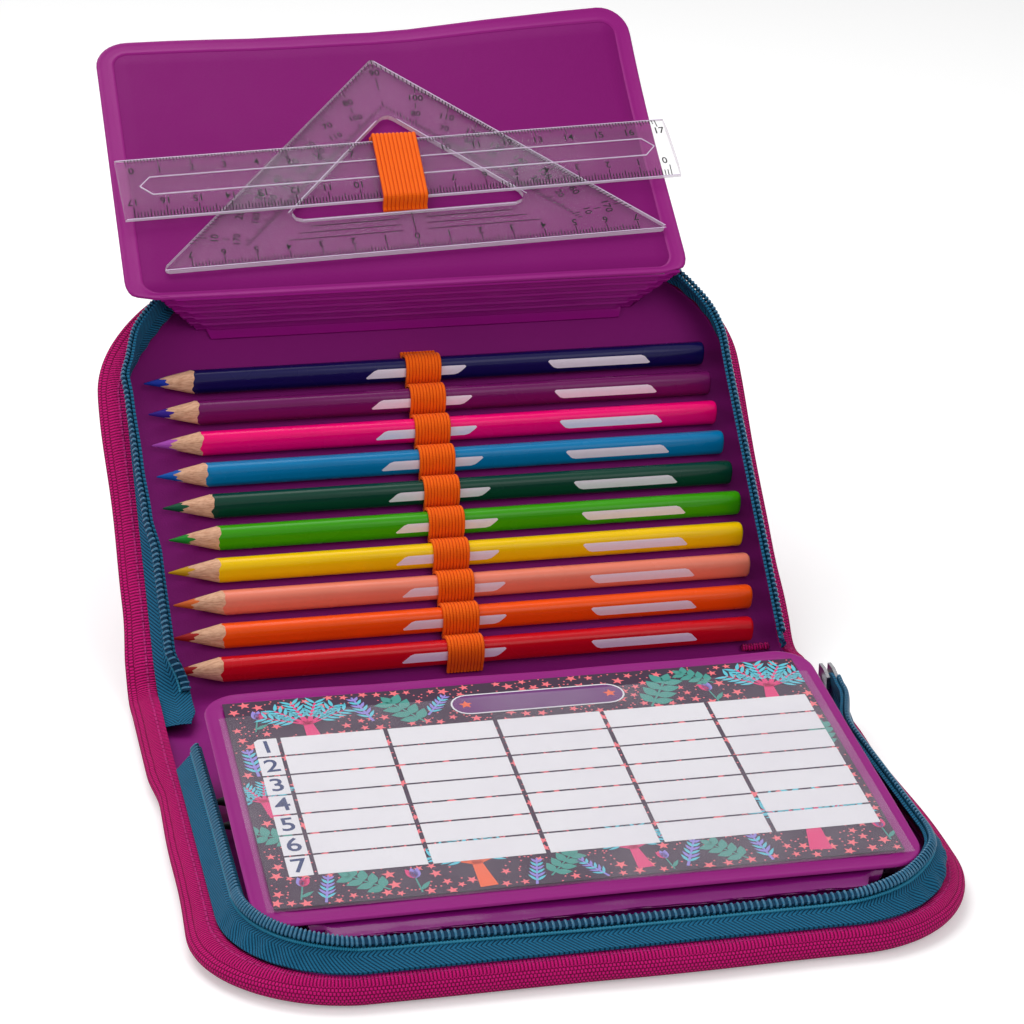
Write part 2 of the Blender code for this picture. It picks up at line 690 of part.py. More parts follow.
def build_flap_sheet(name, parent, lead, top):
    """Welded sheet with round corners and a pressed weld line near its edge."""
    steps = (
        (0.0, top - FLAP_THICKNESS),
        (0.0, top),
        (WELD_INSET, top),
        (WELD_INSET + WELD_DEPTH, top - WELD_DEPTH),
        (WELD_INSET + WELD_WIDTH, top - WELD_DEPTH),
        (WELD_INSET + WELD_WIDTH + WELD_DEPTH, top),
    )
    rings = []
    for inset, height in steps:
        outline = rounded_outline(FLAP_WIDTH, FLAP_LENGTH, FLAP_RADIUS, inset)
        rings.append([Vector((x, y + lead, height)) for x, y in outline])
    loft(name, rings, "purple_pvc", parent)


def build_pleats(name, side, parent, foot, top_inset, taper, edge, slope):
    """Pleated strip from a foot welded to the lining up to the flap's hinged edge.

    The edge is the (y, z) place under the flap's near edge, and the slope is the flap's fall per length away
    from it; the strip's top lies wholly under the flap.
    """
    low = SEAT_GAP + PLEAT_THICKNESS
    first_rise = (edge[1] - low) / (2 * PLEAT_COUNT)
    shift = PLEAT_THICKNESS * math.hypot(first_rise, PLEAT_DEPTH) / first_rise
    top_z = edge[1] - max(slope, 0.0) * shift
    top_y = edge[0] + PLEAT_DEPTH / 2 - (shift if side == BASE_SIDE else 0.0)
    rise = (top_z - low) / (2 * PLEAT_COUNT)
    inner = []
    for i in range(2 * PLEAT_COUNT + 1):
        height = low + rise * i
        lean = (top_y - foot) * i / (2 * PLEAT_COUNT)
        fold = PLEAT_DEPTH / 2 if i % 2 else -PLEAT_DEPTH / 2
        inner.append((foot + lean + fold, height))
    outer = [(y + shift, z) for y, z in inner]
    flange = outer[0][0] - PLEAT_FOOT_LENGTH
    outline = [(flange, SEAT_GAP), (outer[0][0], SEAT_GAP)] + outer + inner[::-1] + [(flange, low)]

    def half_width(height):
        share = (height - SEAT_GAP) / (top_z - SEAT_GAP)
        return FLAP_WIDTH / 2 - top_inset - taper * (1 - share)

    rings = [[Vector((end * half_width(z), side * y, z)) for y, z in outline] for end in (-1, 1)]
    loft(name, rings, "purple_pvc", parent, smooth_angle=15)


def build_lid_flap(parent):
    """Flap of the lid with its strap; the ruler and the set square lie on it."""
    build_flap_sheet("ruler_flap", parent, 0.0, LID_FLAP_RISE)
    sheet = LID_FLAP_RISE
    square_low = sheet + SEAT_GAP
    ruler_low = square_low + SQUARE_THICKNESS + SEAT_GAP
    ruler_top = ruler_low + RULER_THICKNESS
    build_set_square(parent, square_low)
    build_ruler(parent, ruler_low)
    build_strap(parent, sheet, ruler_top)


def tool_matrix(centre_x, centre_y, height):
    """Placement of a drawing tool on the flap, turned by TOOL_TURN."""
    return Matrix.Translation((centre_x, centre_y, height)) @ Matrix.Rotation(TOOL_TURN, 4, "Z")


def rounded_polygon(corners, radius, steps):
    """Replace each corner of a convex polygon by an arc."""
    points = []
    count = len(corners)
    for i, corner in enumerate(corners):
        before = (corners[i - 1] - corner).normalized()
        after = (corners[(i + 1) % count] - corner).normalized()
        half = before.angle(after) / 2
        centre = corner + (before + after).normalized() * (radius / math.sin(half))
        first = corner + before * (radius / math.tan(half)) - centre
        sweep = math.pi - 2 * half
        sign = 1 if before.cross(after) < 0 else -1
        for k in range(steps + 1):
            turn = sign * sweep * k / steps
            c, s = math.cos(turn), math.sin(turn)
            points.append(centre + Vector((first.x * c - first.y * s, first.x * s + first.y * c)))
    return points


def strap_feet():
    """Where the strap's sewn feet begin and end along the flap, clear of the ruler on both sides."""
    reach = RULER_WIDTH / 2 + STRAP_WIDTH / 2 * math.sin(TOOL_TURN) + STRAP_SIDE_GAP + STRAP_FOOT
    return RULER_CENTRE - reach, RULER_CENTRE + reach


def build_set_square(parent, low):
    """Right-angled triangle lying on its long side, with a triangular opening."""
    reach = SQUARE_HYPOTENUSE / 2
    outer = [Vector((-reach, 0)), Vector((reach, 0)), Vector((0, reach))]
    top = strap_feet()[1] - SQUARE_FOOT + STRAP_WIDTH / 2 + SQUARE_STRAP_ROOM
    hole_reach = top - SQUARE_FRAME
    inner = [Vector((-hole_reach, SQUARE_FRAME)), Vector((hole_reach, SQUARE_FRAME)), Vector((0, top))]
    outer = rounded_polygon(outer, SQUARE_ROUND, ROUND_STEPS)
    inner = rounded_polygon(inner, SQUARE_HOLE_ROUND, ROUND_STEPS)
    high = low + SQUARE_THICKNESS
    place = tool_matrix(SQUARE_OFFSET, SQUARE_FOOT, 0.0)
    rings = []
    for loop, z in ((outer, low), (outer, high), (inner, high), (inner, low)):
        rings.append([place @ Vector((p.x, p.y, z)) for p in loop])
    loft("set_square", rings, "clear_acrylic", parent, closed=True)


def build_ruler(parent, low):
    """Flat ruler with a bevelled scale edge and a long pointed groove."""
    half = RULER_LENGTH / 2
    side = RULER_WIDTH / 2
    high = low + RULER_THICKNESS
    place = tool_matrix(RULER_OFFSET, RULER_CENTRE, 0.0)

    def box_ring(bottom_y, top_y, z_bottom, z_top):
        return [
            Vector((-half, bottom_y, z_bottom)),
            Vector((half, bottom_y, z_bottom)),
            Vector((half, top_y, z_top)),
            Vector((-half, top_y, z_top)),
        ]

    groove_y = RULER_GROOVE_WIDTH / 2
    groove_x = half - RULER_GROOVE_INSET
    nose = groove_x - groove_y
    body = bmesh.new()
    under = [body.verts.new(place @ p) for p in box_ring(-side, side, low, low)]
    edge = [body.verts.new(place @ p) for p in box_ring(-side, side, low + RULER_EDGE, low + RULER_EDGE)]
    top = [body.verts.new(place @ p) for p in box_ring(-side + RULER_BEVEL, side - RULER_BEVEL, high, high)]
    outline = (
        (-groove_x, 0.0),
        (-nose, -groove_y),
        (nose, -groove_y),
        (groove_x, 0.0),
        (nose, groove_y),
        (-nose, groove_y),
    )
    rim = [body.verts.new(place @ Vector((x, y, high))) for x, y in outline]
    floor = [body.verts.new(place @ Vector((x, y, high - RULER_GROOVE_DEPTH))) for x, y in outline]
    body.faces.new(under)
    for low_ring, high_ring in ((under, edge), (edge, top), (rim, floor)):
        for i in range(len(low_ring)):
            j = (i + 1) % len(low_ring)
            body.faces.new((low_ring[i], low_ring[j], high_ring[j], high_ring[i]))
    body.faces.new(floor)
    body.faces.new((top[0], top[1], rim[3], rim[2], rim[1], rim[0]))
    body.faces.new((top[2], top[3], rim[0], rim[5], rim[4], rim[3]))
    body.faces.new((top[3], top[0], rim[0]))
    body.faces.new((top[1], top[2], rim[3]))
    add_solid("ruler", body, "clear_acrylic", parent)


def build_strap(parent, sheet, ruler_top):
    """Ribbed elastic strap sewn to the flap on both sides of the ruler."""
    near_foot, far_foot = strap_feet()
    near = near_foot + STRAP_FOOT
    far = far_foot - STRAP_FOOT
    low = sheet + SEAT_GAP
    under = ruler_top + SEAT_GAP
    top = under + STRAP_THICKNESS
    step = STRAP_THICKNESS
    outline = [
        (near_foot, low),
        (near, low),
        (near + SEAT_GAP, under),
        (far - SEAT_GAP, under),
        (far, low),
        (far_foot, low),
        (far_foot, low + step),
        (far + step, low + step),
        (far + step - SEAT_GAP, top - SEAT_GAP),
        (far - SEAT_GAP, top),
        (near + SEAT_GAP, top),
        (near - step + SEAT_GAP, top - SEAT_GAP),
        (near - step, low + step),
        (near_foot, low + step),
    ]
    prism_x("ruler_strap", outline, -STRAP_WIDTH / 2, STRAP_WIDTH / 2, "orange_elastic", parent, 30)


def build_base_flap(parent):
    """Flap of the base with the timetable card in its clear pocket."""
    sheet = -BASE_FLAP_DROP
    build_flap_sheet("timetable_flap", parent, BASE_FLAP_LEAD, sheet)
    card_low = sheet + SEAT_GAP
    card_near = BASE_FLAP_LEAD + CARD_MARGIN
    plates = (
        ("timetable_card", CARD_WIDTH, card_near, CARD_LENGTH, card_low, CARD_THICKNESS, "card"),
        (
            "card_pocket",
            CARD_WIDTH + 2 * POCKET_BORDER,
            card_near - POCKET_BORDER,
            CARD_LENGTH + POCKET_BORDER - POCKET_MOUTH,
            card_low + CARD_THICKNESS + SEAT_GAP,
            POCKET_THICKNESS,
            "clear_film",
        ),
    )
    for name, width, near, length, low, thickness, material_name in plates:
        outline = [(-width / 2, near), (width / 2, near), (width / 2, near + length), (-width / 2, near + length)]
        rings = [[Vector((x, y, z)) for x, y in outline] for z in (low, low + thickness)]
        loft(name, rings, material_name, parent)


def scissors_floor():
    """Height of the lower blade's underside above the lining: the rivet's head is below it."""
    return 2 * SEAT_GAP + RIVET_HEAD


def blade_outline(side):
    """Outline of one scissor half's steel: tang, pivot and tapering blade with a round tip."""
    tip_half = BLADE_WIDTH * BLADE_TIP_SHARE / 2
    half = BLADE_WIDTH / 2
    offset = side * BLADE_OFFSET
    tang_y = -side * TANG_WIDTH / 2
    points = [
        (-TANG_LENGTH, tang_y - TANG_WIDTH / 2),
        (-TANG_LENGTH / 2, offset - half),
        (0.0, offset - half),
        (BLADE_LENGTH / 2, offset - half),
    ]
    centre = BLADE_LENGTH - tip_half
    for i in range(ROUND_STEPS * 2 + 1):
        turn = math.radians(-90 + 180 * i / (ROUND_STEPS * 2))
        points.append((centre + tip_half * math.cos(turn), offset + tip_half * math.sin(turn)))
    points += [
        (BLADE_LENGTH / 2, offset + half),
        (0.0, offset + half),
        (-TANG_LENGTH / 2, offset + half),
        (-TANG_LENGTH, tang_y + TANG_WIDTH / 2),
    ]
    return points


def cylinder(name, radius, low, high, parent, material_name, sides=LEAD_PENCIL_SIDES):
    """Upright round solid about the parent's axis."""
    turns = [2 * math.pi * i / sides for i in range(sides)]
    rings = [[Vector((radius * math.cos(t), radius * math.sin(t), z)) for t in turns] for z in (low, high)]
    return loft(name, rings, material_name, parent)


def build_scissors(parent):
    """Two steel halves crossed at a rivet, each with a moulded finger loop."""
    pivot = frame("scissors_pivot_axis", (SCISSORS_X, -SCISSORS_FOLD, 0.0), parent=parent)
    pivot.rotation_euler = (0.0, 0.0, SCISSORS_TURN)
    cutter = cylinder("rivet_hole_cutter", RIVET_RADIUS + SEAT_GAP, -CASE_WIDTH, CASE_WIDTH, pivot, "steel")
    cutter.hide_render = True
    cutter.display_type = "WIRE"
    low = scissors_floor()
    for label, side, floor in (("lower", 1, low), ("upper", -1, low + BLADE_THICKNESS + SEAT_GAP)):
        rings = [[Vector((x, y, z)) for x, y in blade_outline(side)] for z in (floor, floor + BLADE_THICKNESS)]
        blade = loft(f"scissors_{label}_blade", rings, "steel", pivot)
        cut = blade.modifiers.new("rivet_hole", "BOOLEAN")
        cut.operation = "DIFFERENCE"
        cut.object = cutter
        build_scissor_handle(f"scissors_{label}_handle", -side, pivot)
    top = low + 2 * BLADE_THICKNESS + SEAT_GAP
    build_rivet(pivot, low - SEAT_GAP, top + SEAT_GAP)


def build_rivet(pivot, low, top):
    """Rivet with a flat head on each side of the blades."""
    steps = (
        (RIVET_HEAD_RADIUS, low - RIVET_HEAD),
        (RIVET_HEAD_RADIUS, low),
        (RIVET_RADIUS, low),
        (RIVET_RADIUS, top),
        (RIVET_HEAD_RADIUS, top),
        (RIVET_HEAD_RADIUS, top + RIVET_HEAD),
    )
    turns = [2 * math.pi * i / LEAD_PENCIL_SIDES for i in range(LEAD_PENCIL_SIDES)]
    rings = [[Vector((r * math.cos(t), r * math.sin(t), z)) for t in turns] for r, z in steps]
    loft("scissors_rivet", rings, "steel", pivot)


def build_scissor_handle(name, side, pivot):
    """Finger loop drawn out into a neck that meets the blade's tang."""
    low = SEAT_GAP
    high = low + HANDLE_THICKNESS
    turns = [
        math.radians(HANDLE_NECK_TURN + (360 - 2 * HANDLE_NECK_TURN) * i / HANDLE_STEPS)
        for i in range(HANDLE_STEPS + 1)
    ]
    neck_turn = math.radians(HANDLE_NECK_TURN / 3)
    neck = -TANG_LENGTH - SEAT_GAP

    def outline(grow):
        points = [(neck, side * TANG_WIDTH / 2 + TANG_WIDTH / 2 + grow)]
        for t in turns:
            x = -HANDLE_CENTRE + (HANDLE_LENGTH + grow) * math.cos(t)
            points.append((x, side * HANDLE_SPREAD + (HANDLE_WIDTH + grow) * math.sin(t)))
        points.append((neck, side * TANG_WIDTH / 2 - TANG_WIDTH / 2 - grow))
        return points

    def opening(grow):
        points = []
        for t in [neck_turn] + turns + [-neck_turn]:
            x = -HANDLE_CENTRE + (HANDLE_LENGTH - HANDLE_RIM - grow) * math.cos(t)
            points.append((x, side * HANDLE_SPREAD + (HANDLE_WIDTH - HANDLE_RIM - grow) * math.sin(t)))
        return points

    loops = (
        (outline(-HANDLE_ROUND), low),
        (outline(0.0), low + HANDLE_ROUND),
        (outline(0.0), high - HANDLE_ROUND),
        (outline(-HANDLE_ROUND), high),
        (opening(-HANDLE_ROUND), high),
        (opening(0.0), high - HANDLE_ROUND),
        (opening(0.0), low + HANDLE_ROUND),
        (opening(-HANDLE_ROUND), low),
    )
    rings = [[Vector((x, y, z)) for x, y in loop] for loop, z in loops]
    loft(name, rings, "brown_handle", pivot, closed=True)


def build_slider(parent):
    """Zip slider at the +x end of the base's tape, with its hinged pull."""
    foot = WALL_HEIGHT - FLOOR_STACK + SEAT_GAP
    centre_x = CASE_WIDTH / 2 - EDGE_ROLL
    low = foot + TAPE_WIDTH - SLIDER_WIDTH
    high = foot + TAPE_WIDTH
    half = SLIDER_SLOT / 2 + SLIDER_PLATE
    inner = SLIDER_SLOT / 2
    mid_low = (low + high - SLIDER_POST) / 2
    mid_high = mid_low + SLIDER_POST
    section = [
        (-half, low),
        (-inner, low),
        (-inner, mid_low),
        (inner, mid_low),
        (inner, low),
        (half, low),
        (half, high),
        (inner, high),
        (inner, mid_high),
        (-inner, mid_high),
        (-inner, high),
        (-half, high),
    ]
    near = -TAPE_END_SETBACK + SEAT_GAP
    far = near + SLIDER_LENGTH
    middle = (low + high) / 2
    rings = []
    for y, share in ((near, SLIDER_NOSE_SHARE), (near + SLIDER_LENGTH / 2, 1.0), (far, 1.0)):
        rings.append([Vector((centre_x + x, y, middle + (z - middle) * share)) for x, z in section])
    loft("zip_slider", rings, "zip_metal", parent)

    hinge_x = centre_x - half - SEAT_GAP - PULL_WIDTH / 2
    drop = math.asin((middle - SEAT_GAP - PULL_THICKNESS / 2) / PULL_LENGTH)
    axis = frame("zip_pull_axis", (hinge_x, far - PULL_THICKNESS, middle), drop, parent)
    outer = rounded_outline(PULL_WIDTH, PULL_LENGTH, PULL_WIDTH * PULL_EYE_SHARE / 2, 0.0, ROUND_STEPS)
    hole_width = PULL_WIDTH * PULL_EYE_SHARE
    hole = rounded_outline(hole_width, PULL_EYE_LENGTH, hole_width / 2, 0.0, ROUND_STEPS)
    wall = (PULL_WIDTH - hole_width) / 2
    loops = ((outer, 0.0, 0.0), (outer, 0.0, PULL_THICKNESS), (hole, wall, PULL_THICKNESS), (hole, wall, 0.0))
    rings = []
    for loop, shift, z in loops:
        rings.append([Vector((x, -(y + shift), z - PULL_THICKNESS / 2)) for x, y in loop])
    loft("zip_pull", rings, "zip_metal", axis, closed=True)


def build_end_tab(parent):
    """Short sewn tab beside the zip's end on the lid's lining."""
    high_x = CASE_WIDTH / 2 - TAB_INSET
    near = FOLD_GAP
    outline = [
        (near, SEAT_GAP),
        (near + TAB_WIDTH, SEAT_GAP),
        (near + TAB_WIDTH, SEAT_GAP + TAB_THICKNESS),
        (near, SEAT_GAP + TAB_THICKNESS),
    ]
    prism_x("zip_end_tab", outline, high_x - TAB_LENGTH, high_x, "magenta_fabric", parent)


def build_base(parent):
    """Base leaf and everything that lies or hangs in it."""
    build_leaf("base", BASE_SIDE, parent, BASE_LEAN_SHARES)
    build_scissors(parent)
    build_graphite_pencils(parent)
    build_base_elastic(parent)
    build_slider(parent)

    axis = frame("timetable_flap_axis", (0.0, -BASE_FLAP_FOLD, BASE_FLAP_AXIS_HEIGHT), BASE_FLAP_TILT, parent)
    build_base_flap(axis)
    c, s = math.cos(BASE_FLAP_TILT), math.sin(BASE_FLAP_TILT)
    underside = -BASE_FLAP_DROP - FLAP_THICKNESS - SEAT_GAP
    edge_y = BASE_FLAP_FOLD - BASE_FLAP_LEAD * c + underside * s
    edge_z = BASE_FLAP_AXIS_HEIGHT + BASE_FLAP_LEAD * s + underside * c
    build_pleats(
        "base_accordion",
        BASE_SIDE,
        parent,
        PLEAT_FOOT,
        BASE_PLEAT_TOP_INSET,
        BASE_PLEAT_TAPER,
        (edge_y, edge_z),
        -math.tan(BASE_FLAP_TILT),
    )


def build_lid(parent):
    """Lid leaf, its pencils and its flap."""
    build_leaf("lid", LID_SIDE, parent, LID_LEAN_SHARES)
    build_coloured_pencils(parent)
    build_lid_elastic(parent)
    build_end_tab(parent)

    location = (-LID_FLAP_SHIFT, LID_FLAP_FOLD, LID_FLAP_AXIS_HEIGHT)
    axis = frame("ruler_flap_axis", location, LID_FLAP_TILT, parent)
    build_lid_flap(axis)
    c, s = math.cos(LID_FLAP_TILT), math.sin(LID_FLAP_TILT)
    underside = LID_FLAP_RISE - FLAP_THICKNESS - SEAT_GAP
    edge_y = LID_FLAP_FOLD - underside * s
    edge_z = LID_FLAP_AXIS_HEIGHT + underside * c
    build_pleats(
        "lid_accordion",
        LID_SIDE,
        parent,
        PLEAT_FOOT,
        LID_PLEAT_TOP_INSET,
        LID_PLEAT_TAPER,
        (edge_y, edge_z),
        -math.tan(LID_FLAP_TILT),
    )


def main():
    """Build the whole case."""
    clear_scene()
    base = frame("base_frame", (0.0, BASE_FOLD_Y, FLOOR_STACK))
    build_base(base)
    spine = frame("spine_axis", (0.0, 0.0, 0.0), parent=base)
    build_spine(spine)
    lid = frame("lid_axis", (0.0, SPINE_DEPTH, 0.0), LID_TILT, spine)
    build_lid(lid)


main()
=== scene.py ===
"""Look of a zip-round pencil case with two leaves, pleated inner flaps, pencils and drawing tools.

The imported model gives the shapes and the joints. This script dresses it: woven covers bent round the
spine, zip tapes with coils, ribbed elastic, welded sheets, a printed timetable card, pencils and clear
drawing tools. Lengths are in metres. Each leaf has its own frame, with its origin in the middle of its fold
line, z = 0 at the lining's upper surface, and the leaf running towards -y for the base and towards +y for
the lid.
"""

import logging
import math
import random
from dataclasses import dataclass, field
from enum import Enum
from typing import Any, Callable, Optional, Sequence

import bmesh
import bpy
from mathutils import Matrix, Vector
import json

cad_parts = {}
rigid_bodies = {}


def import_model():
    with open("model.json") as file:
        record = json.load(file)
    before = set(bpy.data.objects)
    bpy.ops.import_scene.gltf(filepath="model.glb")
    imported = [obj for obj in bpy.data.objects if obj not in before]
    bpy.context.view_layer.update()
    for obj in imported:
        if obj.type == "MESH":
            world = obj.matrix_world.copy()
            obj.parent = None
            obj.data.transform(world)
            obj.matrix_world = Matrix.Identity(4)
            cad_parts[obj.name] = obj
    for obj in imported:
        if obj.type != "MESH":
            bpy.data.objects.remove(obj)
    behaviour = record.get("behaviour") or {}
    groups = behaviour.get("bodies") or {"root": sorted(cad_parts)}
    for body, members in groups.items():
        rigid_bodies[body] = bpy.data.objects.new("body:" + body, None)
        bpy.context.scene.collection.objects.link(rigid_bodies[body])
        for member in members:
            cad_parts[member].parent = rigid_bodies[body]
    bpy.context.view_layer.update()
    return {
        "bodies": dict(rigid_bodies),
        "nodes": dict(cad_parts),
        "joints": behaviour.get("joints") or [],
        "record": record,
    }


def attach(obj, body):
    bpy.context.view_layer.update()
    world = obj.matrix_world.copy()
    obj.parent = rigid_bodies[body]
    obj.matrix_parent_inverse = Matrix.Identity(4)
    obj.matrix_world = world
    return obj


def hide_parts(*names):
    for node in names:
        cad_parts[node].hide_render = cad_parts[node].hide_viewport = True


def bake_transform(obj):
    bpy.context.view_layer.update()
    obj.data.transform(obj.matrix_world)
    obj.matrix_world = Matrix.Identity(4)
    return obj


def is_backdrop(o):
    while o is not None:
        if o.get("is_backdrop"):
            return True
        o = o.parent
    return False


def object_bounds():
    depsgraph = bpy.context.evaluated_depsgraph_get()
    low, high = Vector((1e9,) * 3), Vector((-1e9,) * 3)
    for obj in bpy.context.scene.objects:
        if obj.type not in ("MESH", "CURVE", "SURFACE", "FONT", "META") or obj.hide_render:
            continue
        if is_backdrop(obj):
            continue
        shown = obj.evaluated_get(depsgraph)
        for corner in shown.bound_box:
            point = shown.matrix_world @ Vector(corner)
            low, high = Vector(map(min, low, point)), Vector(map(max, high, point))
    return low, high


log = logging.getLogger("pencil_case")

Colour = tuple[float, float, float]
Point2 = tuple[float, float]


class Side(Enum):
    """Which leaf a piece belongs to, and which way that leaf runs from its fold."""

    BASE = -1
    LID = 1


class Slot(Enum):
    """The record's material slots."""

    COVER = "cover_fabric"
    LINING = "lining"
    TAPE = "zip_tape"
    TEETH = "zip_teeth"
    ELASTIC = "elastic"
    SHEET = "flap_sheet"
    CARD = "card"
    FILM = "clear_film"
    ACRYLIC = "clear_acrylic"


@dataclass(frozen=True)
class CaseSizes:
    """Sizes that several parts of the case share."""

    width: float = 0.200
    depth: float = 0.136
    corner: float = 0.038
    wall: float = 0.0072
    roll: float = 0.0045
    floor: float = 0.0033
    cover: float = 0.0010
    lining: float = 0.0006
    gap: float = 0.0003
    spine: float = 0.0378
    tilt: float = math.radians(45)
    crease: float = 0.0100
    near_bulge: float = 0.0032
    collar: float = 0.0032
    lid_collar: float = 0.0036
    lid_corner: float = 0.0045
    right_collar: float = 0.0022
    collar_start: float = 0.018
    collar_run: float = 0.020
    lid_right_collar: float = 0.0008
    pencil_rows: tuple[float, ...] = tuple(0.0066 + 0.01033 * i for i in range(10))

    @property
    def base_frame(self) -> Matrix:
        """Where the base leaf's frame stands."""
        return Matrix.Translation((0.0, self.depth / 2, self.floor))

    @property
    def lid_frame(self) -> Matrix:
        """Where the lid leaf's frame stands."""
        place = Matrix.Translation((0.0, self.depth / 2 + self.spine, self.floor))
        return place @ Matrix.Rotation(self.tilt, 4, "X")

    def leaf_frame(self, side: Side) -> Matrix:
        """The frame of one leaf."""
        return self.base_frame if side is Side.BASE else self.lid_frame


SIZES = CaseSizes()


def srgb(red: int, green: int, blue: int) -> Colour:
    """Turn a colour of 0 to 255 per channel into linear light.

    Args:
        red: Red channel.
        green: Green channel.
        blue: Blue channel.

    Returns:
        The linear colour.
    """
    channels = []
    for value in (red, green, blue):
        share = value / 255
        channels.append(share / 12.92 if share <= 0.04045 else ((share + 0.055) / 1.055) ** 2.4)
    return channels[0], channels[1], channels[2]


def darker(colour: Colour, share: float) -> Colour:
    """A colour with its channels scaled down to a share."""
    return share * colour[0], share * colour[1], share * colour[2]


def ease(share: float) -> float:
    """Ease from 0 to 1, held at both ends."""
    share = min(max(share, 0.0), 1.0)
    return share * share * (3 - 2 * share)


def star(long: float, short: float) -> list[Point2]:
    """Corners of a five-pointed star round the origin, from its long and its short radius."""
    corners = []
    for i in range(10):
        radius = long if i % 2 == 0 else short
        corners.append((radius * math.sin(math.pi * i / 5), radius * math.cos(math.pi * i / 5)))
    return corners


def from_table(table: Sequence[Point2], share: float) -> float:
    """Read an eased value from rows of share and value.

    Args:
        table: Rows in rising order of share.
        share: Where to read.

    Returns:
        The value between the two rows round the share.
    """
    for (low, start), (high, end) in zip(table, table[1:]):
        if share <= high:
            return start + (end - start) * ease((share - low) / (high - low))
    return table[-1][1]


class Wiring:
    """Adds nodes to one shader tree and joins their sockets."""

    def __init__(self, tree: bpy.types.NodeTree) -> None:
        """Keep the tree that the nodes go into."""
        self.tree = tree

    def node(self, kind: str, **settings: Any) -> bpy.types.Node:
        """Add a node and set its properties.

        Args:
            kind: Blender's name for the node type.
            **settings: Properties of the node.

        Returns:
            The new node.
        """
        made = self.tree.nodes.new(kind)
        for key, value in settings.items():
            setattr(made, key, value)
        return made

    def feed(self, socket: bpy.types.NodeSocket, value: Any) -> None:
        """Join an output to an input, or set the input's own value."""
        if isinstance(value, bpy.types.NodeSocket):
            self.tree.links.new(value, socket)
        else:
            socket.default_value = value

    def math(self, operation: str, *values: Any, clamp: bool = False) -> bpy.types.NodeSocket:
        """Add a Math node.

        Args:
            operation: The operation's name.
            *values: Numbers or sockets for its inputs.
            clamp: Whether the result is held between 0 and 1.

        Returns:
            Its output.
        """
        made = self.node("ShaderNodeMath", operation=operation, use_clamp=clamp)
        for socket, value in zip(made.inputs, values):
            self.feed(socket, value)
        return made.outputs[0]

    def remap(self, value: Any, low: float, high: float, start: float, end: float) -> bpy.types.NodeSocket:
        """Map a range of values smoothly onto another.

        Args:
            value: The socket to read.
            low: Lower end of the range read.
            high: Upper end of the range read.
            start: Result at the lower end.
            end: Result at the upper end.

        Returns:
            The mapped output.
        """
        made = self.node("ShaderNodeMapRange", interpolation_type="SMOOTHSTEP")
        for name, entry in (
            ("Value", value),
            ("From Min", low),
            ("From Max", high),
            ("To Min", start),
            ("To Max", end),
        ):
            self.feed(made.inputs[name], entry)
        return made.outputs["Result"]

    def blend(self, factor: Any, first: Any, second: Any) -> bpy.types.NodeSocket:
        """Mix two colours.

        Args:
            factor: Share of the second colour.
            first: First colour or socket.
            second: Second colour or socket.

        Returns:
            The mixed colour's output.
        """
        made = self.node("ShaderNodeMix", data_type="RGBA")
        self.feed(made.inputs[0], factor)
        self.feed(made.inputs[6], first)
        self.feed(made.inputs[7], second)
        return made.outputs[2]

    def noise(self, vector: Any, scale: Any, detail: float = 2.0) -> bpy.types.NodeSocket:
        """Add a noise texture and return its value, between 0 and 1."""
        made = self.node("ShaderNodeTexNoise")
        self.feed(made.inputs["Vector"], vector)
        self.feed(made.inputs["Scale"], scale)
        made.inputs["Detail"].default_value = detail
        return made.outputs[0]

    def split(self, vector: Any) -> tuple[bpy.types.NodeSocket, bpy.types.NodeSocket, bpy.types.NodeSocket]:
        """Split a vector into its three numbers."""
        made = self.node("ShaderNodeSeparateXYZ")
        self.feed(made.inputs[0], vector)
        return made.outputs[0], made.outputs[1], made.outputs[2]

    def wave(self, value: Any, pitch: Any) -> bpy.types.NodeSocket:
        """Rounded ridges along a length: 0 in the grooves and 1 on the crests."""
        turns = self.math("MULTIPLY", self.math("DIVIDE", value, pitch), math.pi)
        return self.math("ABSOLUTE", self.math("SINE", turns))


GroupMaker = Callable[[Wiring, dict[str, bpy.types.NodeSocket]], dict[str, bpy.types.NodeSocket]]
SOCKET_KINDS = {"v": "NodeSocketVector", "f": "NodeSocketFloat", "c": "NodeSocketColor"}


def make_group(name: str, inputs: dict[str, str], outputs: dict[str, str], maker: GroupMaker) -> str:
    """Build a shader node group once.

    Args:
        name: Name of the group.
        inputs: Input names and kinds: v for vector, f for number, c for colour.
        outputs: Output names and kinds.
        maker: Builds the nodes from the inputs and returns the sockets for the outputs.

    Returns:
        The group's name.
    """
    tree = bpy.data.node_groups.new(name, "ShaderNodeTree")
    for label, kind in inputs.items():
        tree.interface.new_socket(name=label, in_out="INPUT", socket_type=SOCKET_KINDS[kind])
    for label, kind in outputs.items():
        tree.interface.new_socket(name=label, in_out="OUTPUT", socket_type=SOCKET_KINDS[kind])
    wiring = Wiring(tree)
    entry = wiring.node("NodeGroupInput")
    leave = wiring.node("NodeGroupOutput")
    made = maker(wiring, {label: entry.outputs[label] for label in inputs})
    for label, socket in made.items():
        wiring.feed(leave.inputs[label], socket)
    return name


